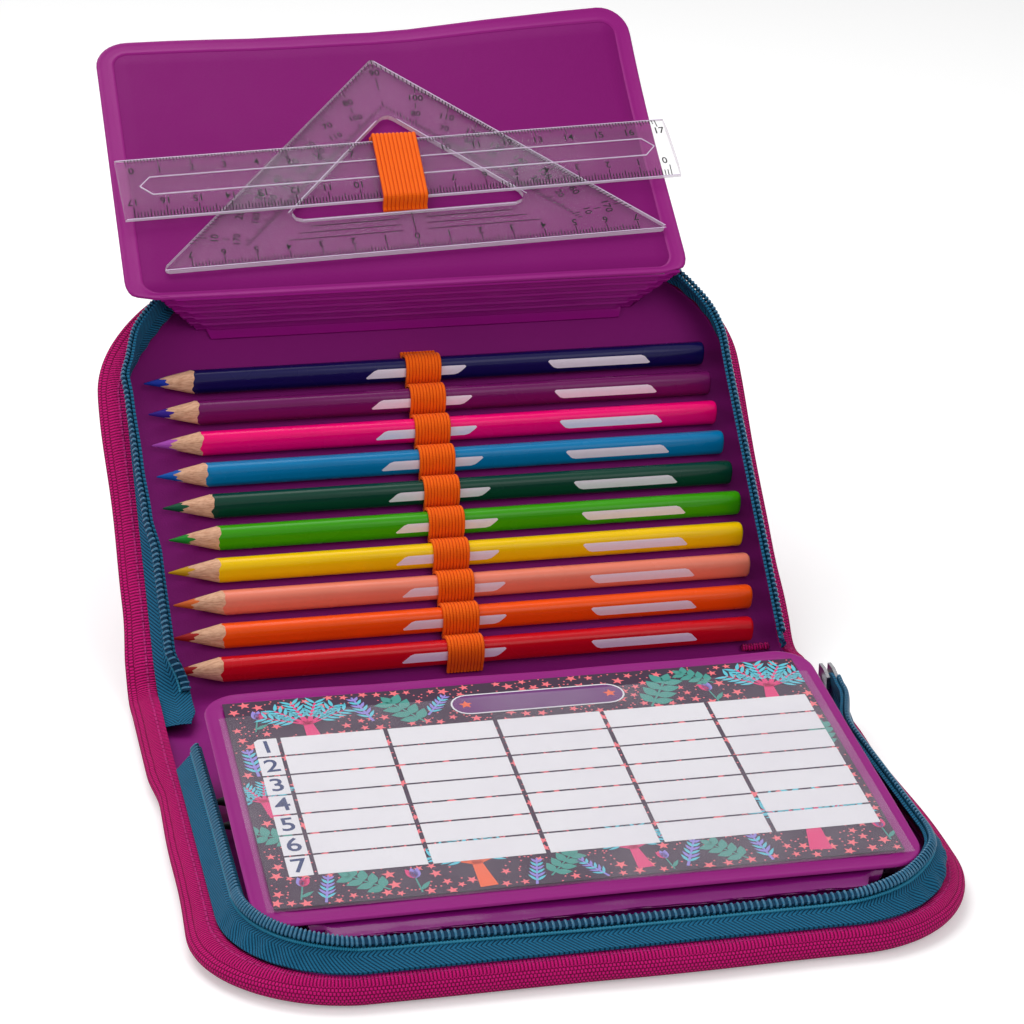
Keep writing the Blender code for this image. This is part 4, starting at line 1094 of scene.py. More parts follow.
def rim(
    side: Side, start: float, step: float, end: Optional[float] = None, sizes: CaseSizes = SIZES
) -> list[Station]:
    """Walk round a leaf's open rim, from its fold at -x to its fold at +x.

    Args:
        side: The leaf.
        start: Distance from the fold where the walk starts.
        step: Largest distance between two stations.
        end: Distance from the fold where it ends; the same where left out.
        sizes: Sizes of the case.

    Returns:
        The stations; bend is 1 in the middle of a corner and 0 on the straights.
    """
    end = start if end is None else end
    depth = sizes.depth + (sizes.near_bulge if side is Side.BASE else 0.0)
    half, run_end, radius = sizes.width / 2, depth - sizes.corner, sizes.corner
    runs = (
        run_end - start, math.pi / 2 * radius, sizes.width - 2 * radius, math.pi / 2 * radius, run_end - end
    )
    stations = []
    walked = 0.0
    for index, run in enumerate(runs):
        count = max(2, math.ceil(run / step))
        for i in range(count + (index == len(runs) - 1)):
            share = i / count
            bend = 0.0
            if index in (0, 4):
                x = -half if index == 0 else half
                y = start + run * share if index == 0 else run_end - run * share
                nx, ny = (1.0 if index == 0 else -1.0), 0.0
            elif index == 2:
                x, y, nx, ny = -half + radius + run * share, depth, 0.0, -1.0
            else:
                turn = math.pi - math.pi / 2 * share if index == 1 else math.pi / 2 * (1 - share)
                centre = -half + radius if index == 1 else half - radius
                x, y = centre + radius * math.cos(turn), run_end + radius * math.sin(turn)
                nx, ny, bend = -math.cos(turn), -math.sin(turn), math.sin(math.pi * share)
            sign = side.value
            if x > 0:
                collar = sizes.lid_right_collar * abs(nx)
                if side is Side.BASE:
                    grown = ease((y - sizes.collar_start) / sizes.collar_run)
                    collar = sizes.right_collar * abs(nx) * grown
            elif side is Side.BASE:
                collar = sizes.collar * abs(nx)
            else:
                collar = sizes.lid_collar * abs(nx) + sizes.lid_corner * bend
            stations.append(
                Station(Vector((x, sign * y)), Vector((nx, sign * ny)), walked + run * share, bend, collar)
            )
        walked += run
    return stations


def roll_profile(
    gap: float, low: float, high: float, steps: int = 18, sizes: CaseSizes = SIZES
) -> list[Point2]:
    """Half an ellipse of inset and height that runs from the rim, round the side, down to the underside.

    Args:
        gap: Inset of its outermost point.
        low: Height of its underside.
        high: Height of its rim.
        steps: Number of segments.
        sizes: Sizes of the case.

    Returns:
        The points of the rolled edge seen end-on.
    """
    curve = []
    for i in range(steps + 1):
        turn = math.pi / 2 - math.pi * i / steps
        height = (low + high) / 2 + (high - low) / 2 * math.sin(turn)
        curve.append((sizes.roll - (sizes.roll - gap) * math.cos(turn), height))
    return curve


def distances(curve: Sequence[Point2]) -> list[float]:
    """Distance along a curve to each of its points."""
    walked = [0.0]
    for (a, b), (c, d) in zip(curve, curve[1:]):
        walked.append(walked[-1] + math.hypot(c - a, d - b))
    return walked


@dataclass(frozen=True)
class Layer:
    """One of a leaf's two skins: the woven cover or the lining inside it."""

    name: str
    material: str
    slot: Slot
    gap: float
    low: float
    high: float
    thickness: float
    dent: float = 0.0

    def profile(self) -> tuple[list[Point2], list[float]]:
        """Points and distances of the closed section at the rim, from its foot outwards and back inside."""
        outer = roll_profile(self.gap, self.low, self.high)
        inner = roll_profile(self.gap + self.thickness, self.low + self.thickness, self.high - self.thickness)
        walked = distances(outer)
        dents = [self.valley(mark) * 0.7 for mark in walked]
        outer = [(inset + dent, height - dent) for (inset, height), dent in zip(outer, dents)]
        return outer + inner[::-1], walked + [walked[-1] + 0.002 * (i + 1) for i in range(len(inner))]

    def valley(self, mark: float) -> float:
        """How deep the cloth is drawn in beside the band that is sewn to the zip."""
        return self.dent * math.exp(-(((mark - 0.0038) / 0.0008) ** 2))


COVER_LAYER = Layer(
    "cover", "cover_cloth", Slot.COVER, 0.0, -SIZES.floor, SIZES.wall - SIZES.floor, SIZES.cover, 0.00045
)
LINING_LAYER = Layer(
    "lining",
    "purple_lining",
    Slot.LINING,
    SIZES.cover + 2 * SIZES.gap,
    -SIZES.lining,
    SIZES.wall - SIZES.floor - SIZES.cover - SIZES.gap,
    SIZES.lining,
)


@dataclass
class LeafShell:
    """Cover and lining of one leaf, up to the creases where the spine's bent pieces take over."""

    side: Side
    body: str
    sizes: CaseSizes = SIZES
    sag: float = 0.00035

    def build(self, finishes: Finishes) -> list[bpy.types.Object]:
        """Make the cover and the lining.

        Args:
            finishes: Materials of the case.

        Returns:
            The two pieces.
        """
        return [self.skin(layer, finishes) for layer in (COVER_LAYER, LINING_LAYER)]

    def skin(self, layer: Layer, finishes: Finishes) -> bpy.types.Object:
        """Make one skin of the leaf.

        Args:
            layer: The skin.
            finishes: Materials of the case.

        Returns:
            The piece.
        """
        stations = rim(self.side, self.sizes.crease, 0.0022)
        profile, walked = layer.profile()
        half = len(profile) // 2
        draft = MeshDraft()
        rows = []
        for station in stations:
            soft = self.softness(station)
            row = []
            for i, (inset, height) in enumerate(profile):
                bulge = math.cos(math.pi * ((i % half) / (half - 1) - 0.5))
                row.append(station.at(inset + soft * bulge, height))
            rows.append(row)
        lengths = [s.length for s in stations]
        outside = draft.strip([row[:half] for row in rows], lengths, walked[:half], ring=False)
        inside = draft.strip([row[half:] for row in rows], lengths, walked[half:], ring=False)
        draft.face([row[-1] for row in outside][::-1])
        draft.face([row[0] for row in inside])
        draft.face(outside[0] + outside[-1][::-1] + inside[-1][::-1] + inside[0])
        first = [row[0] for row in outside]
        last = [row[-1] for row in inside]
        marks = [(stations[0].length, 0.0)] * 4
        for r in range(len(rows) - 1):
            draft.face((first[r], first[r + 1], last[r + 1], last[r]), marks)
        frame = self.sizes.leaf_frame(self.side)
        made = draft.finish(f"{self.body}_{layer.name}_skin", [finishes[layer.material]], frame, 50.0)
        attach(made, self.body)
        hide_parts(f"{self.body}_{layer.name}")
        return made

    def softness(self, station: Station) -> float:
        """How far the soft side wall is pushed in at a place on the rim."""
        phase = 1.3 if self.side is Side.LID else 0.2
        wave = math.sin(station.length * 47 + phase) + 0.6 * math.sin(station.length * 101 + 2 * phase)
        ends = ease(station.length / 0.02) * ease((0.415 - station.length) / 0.02)
        return self.sag * (1.2 + wave) * ends


@dataclass
class SpineSkin:
    """Cover and lining across the spine, bent round the lid's crease as the case lies at rest."""

    sizes: CaseSizes = SIZES

    def build(self, finishes: Finishes) -> list[bpy.types.Object]:
        """Make the four bent pieces.

        Args:
            finishes: Materials of the case.

        Returns:
            The pieces.
        """
        middle = self.sizes.spine / 2
        made = []
        for layer in (COVER_LAYER, LINING_LAYER):
            for label, start, end, bodies in (
                ("base_side", -self.sizes.crease, middle, ("base", "spine")),
                ("lid_side", middle, self.sizes.spine + self.sizes.crease, ("spine", "lid")),
            ):
                made.append(self.piece(layer, label, start, end, bodies, finishes))
        return made

    def bent(self, point: Vector) -> Vector:
        """Bend a point of the flat spine round the lid's crease, as the case lies at rest."""
        share = ease((point.y - self.sizes.spine + self.sizes.crease) / (2 * self.sizes.crease))
        turn = Matrix.Rotation(self.sizes.tilt * share, 4, "X")
        pivot = Vector((0.0, self.sizes.spine, 0.0))
        return pivot + turn @ (point - pivot)

    def section(self, layer: Layer, share: float) -> tuple[list[Point2], list[float]]:
        """Closed section across the spine in x and z, with marks that grow from the rims to the middle.

        Args:
            layer: The skin.
            share: How far from the base's leaf to the lid's it lies, between 0 and 1.

        Returns:
            The section's points and their marks across.
        """
        profile, walked = layer.profile()
        half = len(profile) // 2
        edge = self.sizes.width / 2
        sizes = self.sizes
        wide = 1 + (sizes.collar + (sizes.lid_collar - sizes.collar) * share) / sizes.roll
        outer = [(-edge + inset * wide, height) for inset, height in profile[:half]]
        inner = [(-edge + inset * wide, height) for inset, height in profile[half:]]
        floor = [(x, layer.low) for x in (-0.06, -0.02, 0.02, 0.06)]
        upper = [(x, layer.low + layer.thickness) for x in (0.06, 0.02, -0.02, -0.06)]
        far = 1 + sizes.lid_right_collar * share / sizes.roll
        right = [(edge - inset * far, height) for inset, height in profile[:half][::-1]]
        right_in = [(edge - inset * far, height) for inset, height in profile[half:][::-1]]
        ring = outer + floor + right + right_in + upper + inner
        marks = walked[:half] + [0.03, 0.05, 0.05, 0.03] + walked[:half][::-1] + walked[:half] + [0.05] * 4
        marks += walked[:half][::-1] + [walked[0]]
        return ring, marks

    def piece(
        self, layer: Layer, label: str, start: float, end: float, bodies: tuple[str, str], finishes: Finishes
    ) -> bpy.types.Object:
        """Make one bent piece.

        Args:
            layer: The skin.
            label: End of the piece's name.
            start: Where it starts, along the flat spine.
            end: Where it ends.
            bodies: The two bodies between which it lies; not used.
            finishes: Materials of the case.

        Returns:
            The piece.
        """
        steps = math.ceil((end - start) / 0.001)
        places = [start + (end - start) * i / steps for i in range(steps + 1)]
        rows, marks = [], []
        for y in places:
            share = ease((y + self.sizes.crease) / (self.sizes.spine + 2 * self.sizes.crease))
            ring, marks = self.section(layer, share)
            rows.append([self.bent(Vector((x, y, z))) for x, z in ring])
        draft = MeshDraft()
        draft.strip(rows, places, marks)
        made = draft.finish(
            f"spine_{layer.name}_{label}", [finishes[layer.material]], self.sizes.base_frame, 50.0
        )
        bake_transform(made)
        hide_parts(f"spine_{layer.name}")
        return made


@dataclass
class ZipRow:
    """Woven tape, stitched cord and coil of one half of the zip."""

    side: Side
    body: str
    lean: tuple[Point2, ...]
    sizes: CaseSizes = SIZES
    width: float = 0.0092
    thickness: float = 0.0008
    setback: float = 0.0105
    bow_top: float = 0.7
    bow: tuple[Point2, ...] = ((0.0, 0.0), (0.68, 0.0), (0.75, 0.0016), (0.92, 0.0016), (1.0, 0.0006))
    tails: tuple[float, float] = (0.0060, 0.0060)
    coil_tails: tuple[float, float] = (0.0, 0.0)
    pitch: float = 0.0016
    reach: float = 0.0031
    rise: float = 0.0014
    wire: float = 0.00037
    overhang: float = 0.0006
    ripple: float = 0.0007

    def lines(self, step: float) -> list[tuple[float, Vector, Vector, Vector, float, float]]:
        """The tape's foot round the rim.

        Args:
            step: Largest distance between two lines.

        Returns:
            For each line its length, foot, direction up the tape, outward normal, corner share and end share.
        """
        first, last = self.tails
        stations = rim(self.side, self.setback - first, step, self.setback - last)
        total = stations[-1].length
        foot_height = self.sizes.wall - self.sizes.floor + self.sizes.gap
        lines = []
        for station in stations:
            share = min(max((station.length - first) / (total - first - last), 0.0), 1.0)
            beyond = max(first - station.length, station.length - total + last, 0.0)
            cut = min(station.length, total - station.length)
            end = max(0.0, 1 - cut / 0.006) if beyond > 0 else 0.0
            lean = from_table(self.lean, share)
            lean = math.radians(lean + (82 - lean) * ease((first - station.length) / 0.012))
            inward = station.inward
            up = Vector((inward.x * math.sin(lean), inward.y * math.sin(lean), math.cos(lean)))
            out = Vector((-inward.x * math.cos(lean), -inward.y * math.cos(lean), math.sin(lean)))
            foot = station.at(self.sizes.roll, foot_height + self.thickness / 2 * abs(math.sin(lean)))
            foot.z += self.rise_over_fold(0.004 - self.side.value * station.point.y)
            lines.append((station.length, foot, up, out, station.bend, end))
        return lines

    def rise_over_fold(self, over: float) -> float:
        """How far a long end turns up from its leaf's plane to lie along the spine."""
        if over <= 0:
            return 0.0
        return over**2 / 0.020 if over < 0.010 else over - 0.005

    def build(self, finishes: Finishes) -> list[bpy.types.Object]:
        """Make the tape and the coil.

        Args:
            finishes: Materials of the case.

        Returns:
            The two pieces.
        """
        return [self.tape(finishes), self.coil(finishes)]

    def tape(self, finishes: Finishes) -> bpy.types.Object:
        """Make the woven tape, gathered in the corners and tucked in at its ends."""
        columns = 7
        rows, along = [], []
        lines = self.lines(0.0012)
        total = lines[-1][0]
        for length, foot, up, out, bend, tail in lines:
            width = self.width * (1 - 0.22 * ease(tail))
            bow = from_table(self.bow, length / total)
            face, back = [], []
            for i in range(columns):
                share = i / (columns - 1)
                wave = math.sin(length * 2 * math.pi / 0.0085 + 2.2 * share) * bend * (1 - share) * math.sin(
                    math.pi * min(1.0, share * 1.6 + 0.1)
                )
                slack = 0.25 * math.sin(length * 83 + 1.7 * share) * math.sin(math.pi * share)
                pucker = tail * math.sin(length * 2600 + 3 * share) * 0.7
                bulge = bow * math.sin(math.pi * min(1.0, share / self.bow_top))
                middle = foot + up * (width * share) + out * (self.ripple * (wave + slack + pucker) + bulge)
                face.append(middle + out * self.thickness / 2)
                back.append(middle - out * self.thickness / 2)
            rows.append(face + back[::-1])
            along.append(length)
        step = self.width / (columns - 1)
        across = [step * i for i in range(columns)] + [step * i for i in range(columns)][::-1] + [0.0]
        draft = MeshDraft()
        draft.strip(rows, along, across)
        made = draft.finish(
            f"{self.body}_tape", [finishes["zip_tape_cloth"]], self.sizes.leaf_frame(self.side), 50.0
        )
        self.attach(made)
        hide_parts(f"{self.body}_zip_tape")
        return made

    def coil(self, finishes: Finishes) -> bpy.types.Object:
        """Make the coil, one loop of nylon at each pitch, with the cord that is stitched along its root and a
        dark core inside the loops whose colour is painted shade between the turns.
        """
        lines = self.lines(0.0012)
        total = lines[-1][0]
        low, high = self.tails[0] - self.coil_tails[0], total - self.tails[1] + self.coil_tails[1]
        lines = [line for line in lines if low - 1e-6 <= line[0] <= high + 1e-6]
        low, high = lines[0][0], lines[-1][0]
        count = int((high - low) / self.pitch)
        draft = MeshDraft()
        root = self.width + self.overhang - self.reach
        cursor = 0
        for turn in range(count):
            length = low + (turn + 0.5) * (high - low) / count
            while cursor < len(lines) - 2 and lines[cursor + 1][0] < length:
                cursor += 1
            before, after = lines[cursor], lines[cursor + 1]
            share = (length - before[0]) / (after[0] - before[0])
            foot, up, out = (before[k].lerp(after[k], share) for k in (1, 2, 3))
            along = (after[1] - before[1]).normalized()
            path = []
            for k in range(12):
                angle = 2 * math.pi * k / 12
                c, s = math.cos(angle), math.sin(angle)
                level = root + self.reach / 2 + (self.reach / 2 - self.wire) * math.copysign(abs(c) ** 0.7, c)
                level_out = self.thickness / 2 + self.sizes.gap + self.rise / 2
                lift = level_out + (self.rise / 2 - self.wire * 0.7) * s
                path.append(foot + up * level + out * lift + along * (0.06 * self.pitch * s))
            draft.tube(path, self.wire, 6, closed=True)
        fine = [line for line in self.lines(0.0004) if low - 1e-6 <= line[0] <= high + 1e-6]
        cord = []
        for _, foot, up, out, _, _ in fine:
            cord.append(foot + up * (root - 0.0003) + out * (self.thickness / 2 + 0.00025))
        draft.tube(cord, [0.00030 + 0.00026 * (i % 2) for i in range(len(cord))], 6, slot=1)
        # A core inside the loops, whose dark colour paints the shade seen between the turns.
        middle = self.thickness / 2 + self.sizes.gap + self.rise / 2
        core = []
        for _, foot, up, out, _, _ in lines:
            ring = (
                (0.0005, -0.0003), (self.reach - 0.0006, -0.0003), (self.reach - 0.0006, 0.0003),
                (0.0005, 0.0003),
            )
            core.append([foot + up * (root + level) + out * (middle + lift) for level, lift in ring])
        draft.strip(core, slot=2)
        colours = [finishes[name] for name in ("zip_coil", "zip_cord", "zip_core_shade")]
        made = draft.finish(f"{self.body}_coil", colours, self.sizes.leaf_frame(self.side), 60.0)
        self.attach(made)
        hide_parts(f"{self.body}_zip_teeth")
        return made

    def attach(self, made: bpy.types.Object) -> None:
        """Let a base piece ride on its leaf; a lid piece only has its frame baked into its points and rides on
        no body, as its end lies along the spine.
        """
        if self.side is Side.BASE:
            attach(made, self.body)
            return
        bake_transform(made)


@dataclass
class ElasticBand:
    """A ribbed band: round cords side by side that follow a path over what the band holds."""

    name: str
    body: str
    node: str
    frame: Matrix
    path: list[Point2]
    x: float = 0.0
    width: float = 0.0125
    thickness: float = 0.0009
    cords: int = 13

    def smoothed(self) -> list[Vector]:
        """The path in y and z, with its corners cut and more than 0.45 mm between points."""
        points = [Vector(point) for point in self.path]
        for _ in range(2):
            cut = [points[0]]
            for a, b in zip(points, points[1:]):
                cut += [a.lerp(b, 0.25), a.lerp(b, 0.75)]
            points = cut + [points[-1]]
        fine = [points[0]]
        for point in points[1:]:
            if (point - fine[-1]).length > 0.00045:
                fine.append(point)
        return fine

    def build(self, finishes: Finishes) -> bpy.types.Object:
        """Make the band.

        Args:
            finishes: Materials of the case.

        Returns:
            The piece.
        """
        path = self.smoothed()
        half = self.thickness / 2
        per_cord = 5
        top = []
        for i in range(self.cords * per_cord + 1):
            share = i / (self.cords * per_cord)
            crest = abs(math.sin(math.pi * share * self.cords))
            top.append((self.x + self.width * (share - 0.5), half * (0.3 + 0.75 * crest**0.6)))
        under = [(self.x + self.width * (0.5 - i / 8), -half * 0.9) for i in range(9)]
        ring = top + under
        across = [0.001 * i / per_cord for i in range(len(top))] + [0.0005] * (len(under) + 1)
        rows, along = [], [0.0]
        for i, point in enumerate(path):
            tangent = (path[min(i + 1, len(path) - 1)] - path[max(i - 1, 0)]).normalized()
            normal = Vector((-tangent.y, tangent.x))
            rows.append(
                [Vector((x, point.x + normal.x * lift, point.y + normal.y * lift)) for x, lift in ring]
            )
            if i:
                along.append(along[-1] + (point - path[i - 1]).length)
        draft = MeshDraft()
        draft.strip(rows, along, across)
        made = draft.finish(self.name, [finishes["orange_elastic"]], self.frame, 70.0)
        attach(made, self.body)
        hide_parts(self.node)
        return made


@dataclass
class PencilShape:
    """Sizes of a pencil's barrel and point."""

    length: float = 0.175
    radius: float = 0.00365
    lobe: float = 0.00035
    cone: float = 0.0155
    lead: float = 0.00165
    sides: int = 42

    def radius_at(self, turn: float) -> float:
        """Radius of the barrel, three-lobed with one lobe up."""
        return self.radius + self.lobe * math.cos(3 * (turn - math.pi / 2))

    def surface(self, turn: float, offset: float) -> Point2:
        """A point offset square to the barrel's surface, in y and z about its axis."""
        radius = self.radius_at(turn)
        slope = -3 * self.lobe * math.sin(3 * (turn - math.pi / 2))
        c, s = math.cos(turn), math.sin(turn)
        normal = Vector((radius * c + slope * s, radius * s - slope * c)).normalized()
        return radius * c + normal.x * offset, radius * s + normal.y * offset


@dataclass
class Pencil:
    """One sharpened pencil with bare white plaques on its barrel."""

    node: str
    shape: PencilShape
    frame: Matrix
    barrel: str
    lead: str
    seed: int
    plaques: tuple[tuple[float, float, float], ...] = ()

    def build(self, finishes: Finishes) -> bpy.types.Object:
        """Make the pencil.

        Args:
            finishes: Materials of the case.

        Returns:
            The piece.
        """
        shape = self.shape
        rng = random.Random(self.seed)
        phases = [rng.uniform(0, 2 * math.pi) for _ in range(4)]
        turns = [2 * math.pi * i / shape.sides for i in range(shape.sides)]
        slope = shape.radius / shape.cone
        tip, tail = -shape.length / 2, shape.length / 2

        def lead_radius(turn: float) -> float:
            """Uneven line where the sharpener cut from wood into lead."""
            return shape.lead * (
                1 + 0.13 * math.sin(3 * turn + phases[0]) + 0.10 * math.sin(7 * turn + phases[1])
            )

        def lacquer_edge(turn: float) -> float:
            """Uneven line where the sharpener cut through the lacquer."""
            edge = 0.00018 * (math.sin(5 * turn + phases[2]) + math.sin(9 * turn + phases[3]))
            return tip + (0.75 * shape.radius + 0.25 * shape.radius_at(turn)) / slope + edge

        def ring(x_at: Callable[[float], float], scale_at: Callable[[float], float]) -> list[Vector]:
            """One ring of the pencil."""
            return [Vector((x_at(t), scale_at(t) * math.cos(t), scale_at(t) * math.sin(t))) for t in turns]

        rows = []
        for back, scale in (
            (0.0, 0.74), (0.00012, 0.86), (0.0004, 0.95), (0.0009, 1.0), (0.04, 1.0), (0.10, 1.0)
        ):
            rows.append(ring(lambda t, b=back: tail - b, lambda t, k=scale: shape.radius_at(t) * k))
        barrel_rows = len(rows)
        rows.append(ring(lacquer_edge, lambda t: shape.radius_at(t)))
        rows.append(
            ring(lambda t: lacquer_edge(t) - 0.0006, lambda t: shape.radius_at(t) - 0.0006 * slope - 0.00005)
        )
        rows.append(ring(lambda t: tip + lead_radius(t) / slope, lead_radius))
        for share in (0.6, 0.3):
            rows.append(
                ring(lambda t, k=share: tip + k * shape.lead / slope, lambda t, k=share: k * shape.lead)
            )
        rows.append(ring(lambda t: tip + 0.00028 / slope, lambda t: 0.00028))
        rows.append(ring(lambda t: tip + 0.00020 / slope, lambda t: 0.00012))

        def slot(row: int, _: int) -> int:
            """Barrel, wood or lead."""
            if row < barrel_rows:
                return 0
            return 1 if row < barrel_rows + 2 else 2

        draft = MeshDraft()
        draft.strip(rows, slot=slot)
        for low, high, slant in self.plaques:
            self.plaque(draft, low, high, slant)
        names = (self.barrel, "pencil_wood", self.lead, "plaque_white")
        made = draft.finish(f"{self.node}_dressed", [finishes[name] for name in names], self.frame, 35.0)
        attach(made, self.node)
        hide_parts(self.node)
        return made

    def plaque(self, draft: MeshDraft, low: float, high: float, slant: float) -> None:
        """Print a bare plaque with slanted ends along the barrel, on the side that faces the spine.

        Args:
            draft: The pencil's draft.
            low: Where it starts along the barrel.
            high: Where it ends.
            slant: How far its ends lean towards +x at its upper side.
        """
        rows = []
        steps = 8
        for i in range(steps + 1):
            share = i / steps
            turn = math.radians(114 + 50 * share)
            corner = 0.0009 * (1 - math.sqrt(max(0.0, 1 - (2 * abs(share - 0.5)) ** 6)))
            lean = slant * (0.5 - share)
            start = low + lean + corner
            end = high + lean - corner
            y, z = self.shape.surface(turn, 0.00003)
            rows.append([Vector((start + (end - start) * k / 3, y, z)) for k in range(4)])
        draft.strip(rows, ring=False, slot=3)


@dataclass
class WeldedFlap:
    """Soft plastic sheet with round corners and a pressed weld line near its edge."""

    name: str
    node: str
    frame: Matrix
    lead: float
    top: float
    width: float = 0.170
    length: float = 0.107
    radius: float = 0.010
    thickness: float = 0.0010
    weld: float = 0.0052
    bow: float = 0.0006
    phase: float = 0.0
    spread: float = 0.0
    lift: float = 0.0
    trim: float = 0.0

    def outline(self, inset: float) -> list[Point2]:
        """Round-cornered outline at an inset, with as many points at every inset."""
        turn_radius = max(self.radius - inset, 0.0002)
        half_x, half_y = self.width / 2 - inset, self.length / 2 - inset
        points = []
        for sx, sy, first in ((1, -1, -90), (1, 1, 0), (-1, 1, 90), (-1, -1, 180)):
            for i in range(9):
                turn = math.radians(first + 90 * i / 8)
                x = sx * (half_x - turn_radius) + turn_radius * math.cos(turn)
                y = self.length / 2 + sy * (half_y - turn_radius) + turn_radius * math.sin(turn)
                points.append((x, y))
            ends = (points[-1], self.corner_start(sx, sy, half_x, half_y, turn_radius))
            for i in range(1, 12):
                share = i / 12
                points.append(tuple(a + (b - a) * share for a, b in zip(*ends)))
        return points

    def corner_start(self, sx: int, sy: int, half_x: float, half_y: float, turn_radius: float) -> Point2:
        """Where the next corner's arc begins."""
        corners = {(1, -1): (1, 1, 0), (1, 1): (-1, 1, 90), (-1, 1): (-1, -1, 180), (-1, -1): (1, -1, -90)}
        nx, ny, first = corners[(sx, sy)]
        turn = math.radians(first)
        x = nx * (half_x - turn_radius) + turn_radius * math.cos(turn)
        y = self.length / 2 + ny * (half_y - turn_radius) + turn_radius * math.sin(turn)
        return x, y

    def wave(self, x: float, y: float) -> float:
        """How far the soft sheet stands off its plane."""
        edge = min(self.width / 2 - abs(x), y, self.length - y)
        slack = 1 - ease(edge / 0.02)
        far = max(y, 0.0) / self.length
        corner = self.lift * far**4 * ease((x + 0.008) / 0.093)
        long_wave = math.sin(x * 31 + self.phase) * math.cos(y * 26 + 0.7)
        return corner + self.bow * (
            0.5 * long_wave * slack + 0.25 * math.sin(x * 140 + y * 90) * slack * ease(y / 0.01)
        )

    def drawn(self, x: float, y: float) -> Point2:
        """Where a point of the even rectangle lies on the stretched sheet."""
        far = max(y, 0.0) / self.length
        left = max(-x, 0.0) / (self.width / 2)
        near = self.trim * (1 - ease(y / 0.0056))
        return x - self.spread * left, y + near + self.spread * (0.3 + 0.8 * ease((x + 0.05) / 0.13)) * far

    def build(self, finishes: Finishes) -> bpy.types.Object:
        """Make the sheet.

        Args:
            finishes: Materials of the case.

        Returns:
            The piece.
        """
        low, top = self.top - self.thickness, self.top
        steps = [
            (0.0075, low), (0.0012, low), (0.0004, low + 0.0001), (0.0, low + 0.0004), (0.0002, top - 0.0001),
            (0.0006, top), (0.0012, top - 0.00015), (0.0020, top - 0.0002), (0.0032, top - 0.0002),
            (self.weld - 0.0014, top - 0.0002), (self.weld - 0.0008, top - 0.00005), (self.weld - 0.0003, top),
            (self.weld, top - 0.0003), (self.weld + 0.0003, top - 0.0003), (self.weld + 0.0007, top),
            (0.010, top), (0.016, top), (0.024, top), (0.034, top), (0.044, top), (0.052, top),
        ]
        rows = []
        for inset, height in steps:
            row = []
            for x, y in self.outline(inset):
                place_x, place_y = self.drawn(x, y)
                row.append(Vector((place_x, place_y + self.lead, height + self.wave(x, y))))
            rows.append(row)
        draft = MeshDraft()
        border = len([1 for inset, _ in steps if inset < self.weld]) + 1
        draft.strip(rows, slot=lambda row, _: 0 if row < border else 1)
        made = draft.finish(self.name, [finishes["flap_border"], finishes["flap_panel"]], self.frame, 60.0)
        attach(made, self.node)
        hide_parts(self.node)
        return made


@dataclass
class PleatedHinge:
    """Pleated strip between a leaf and its flap: the accordion."""

    name: str
    node: str
    side: Side
    body: str
    flap: str
    foot: float
    top: Point2
    half_foot: float
    half_top: float
    pleats: int = 5
    depth: float = 0.0034
    thickness: float = 0.0005
    wrinkle: float = 0.00008
    swell: float = 0.0
    finish: str = "pleat_sheet"
    sizes: CaseSizes = SIZES

    def section(self) -> list[tuple[float, float, float]]:
        """Places of the sheet's middle from its foot to its top, with the share of the way up."""
        low = self.sizes.gap + self.thickness
        count = self.pleats * 10
        places = [
            (self.foot - self.depth / 2 - 0.0028, low - 0.0002, 0.0),
            (self.foot - self.depth / 2 - 0.001, low - 0.0002, 0.0),
        ]
        for i in range(count + 1):
            share = i / count
            swing = -math.cos(math.pi * 2 * self.pleats * share)
            fold = math.copysign(abs(swing) ** 0.75, swing)
            y = self.foot + (self.top[0] - self.foot) * share + fold * self.depth / 2
            y += self.swell * math.sin(math.pi * share) ** 0.6
            z = low + (self.top[1] - low) * (share - 0.035 * math.sin(4 * math.pi * self.pleats * share))
            places.append((y, z, share))
        return places

    def build(self, finishes: Finishes) -> bpy.types.Object:
        """Make the strip.

        Args:
            finishes: Materials of the case.

        Returns:
            The piece.
        """
        section = self.section()
        columns = 72
        rows = []
        for c in range(columns + 1):
            across = -1 + 2 * c / columns
            across = math.copysign(1 - (1 - abs(across)) ** 1.25, across)
            face, back = [], []
            for i, (y, z, share) in enumerate(section):
                half = self.half_foot + (self.half_top - self.half_foot) * share
                x = across * half
                weld = ease((abs(x) - half + 0.0045) / 0.0015)
                line = self.foot + (self.top[0] - self.foot) * share
                y_here = y + (line - y) * 0.85 * weld
                ridge = 10 * share * self.pleats / 5
                crumple = math.sin(x * 210 + 5 * ridge) * math.sin(x * 73 + 2 * ridge) + 0.5 * math.sin(
                    x * 520 + 9 * ridge
                )
                y_here += self.wrinkle * crumple * math.sin(math.pi * share) * (1 - weld)
                before, after = section[max(i - 1, 0)], section[min(i + 1, len(section) - 1)]
                tangent = Vector((after[0] - before[0], after[1] - before[1])).normalized()
                normal = Vector((-tangent.y, tangent.x)) * (self.thickness / 2) * (1 + 0.9 * weld)
                sign = self.side.value
                face.append(Vector((x, sign * (y_here + normal.x), z + normal.y)))
                back.append(Vector((x, sign * (y_here - normal.x), z - normal.y)))
            rows.append(face + back[::-1])
        draft = MeshDraft()
        draft.strip(rows)
        made = draft.finish(self.name, [finishes[self.finish]], self.sizes.leaf_frame(self.side), 75.0)
        frame = self.sizes.leaf_frame(self.side)
        sign = self.side.value
        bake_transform(made)
        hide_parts(self.node)
        return made


class Motif(Enum):
    """The small generic shapes of the card's pattern."""

    STAR = "star"
    DOT = "dot"
    LEAF = "leaf"
    SPRIG = "sprig"
    TREE = "tree"
    TULIP = "tulip"


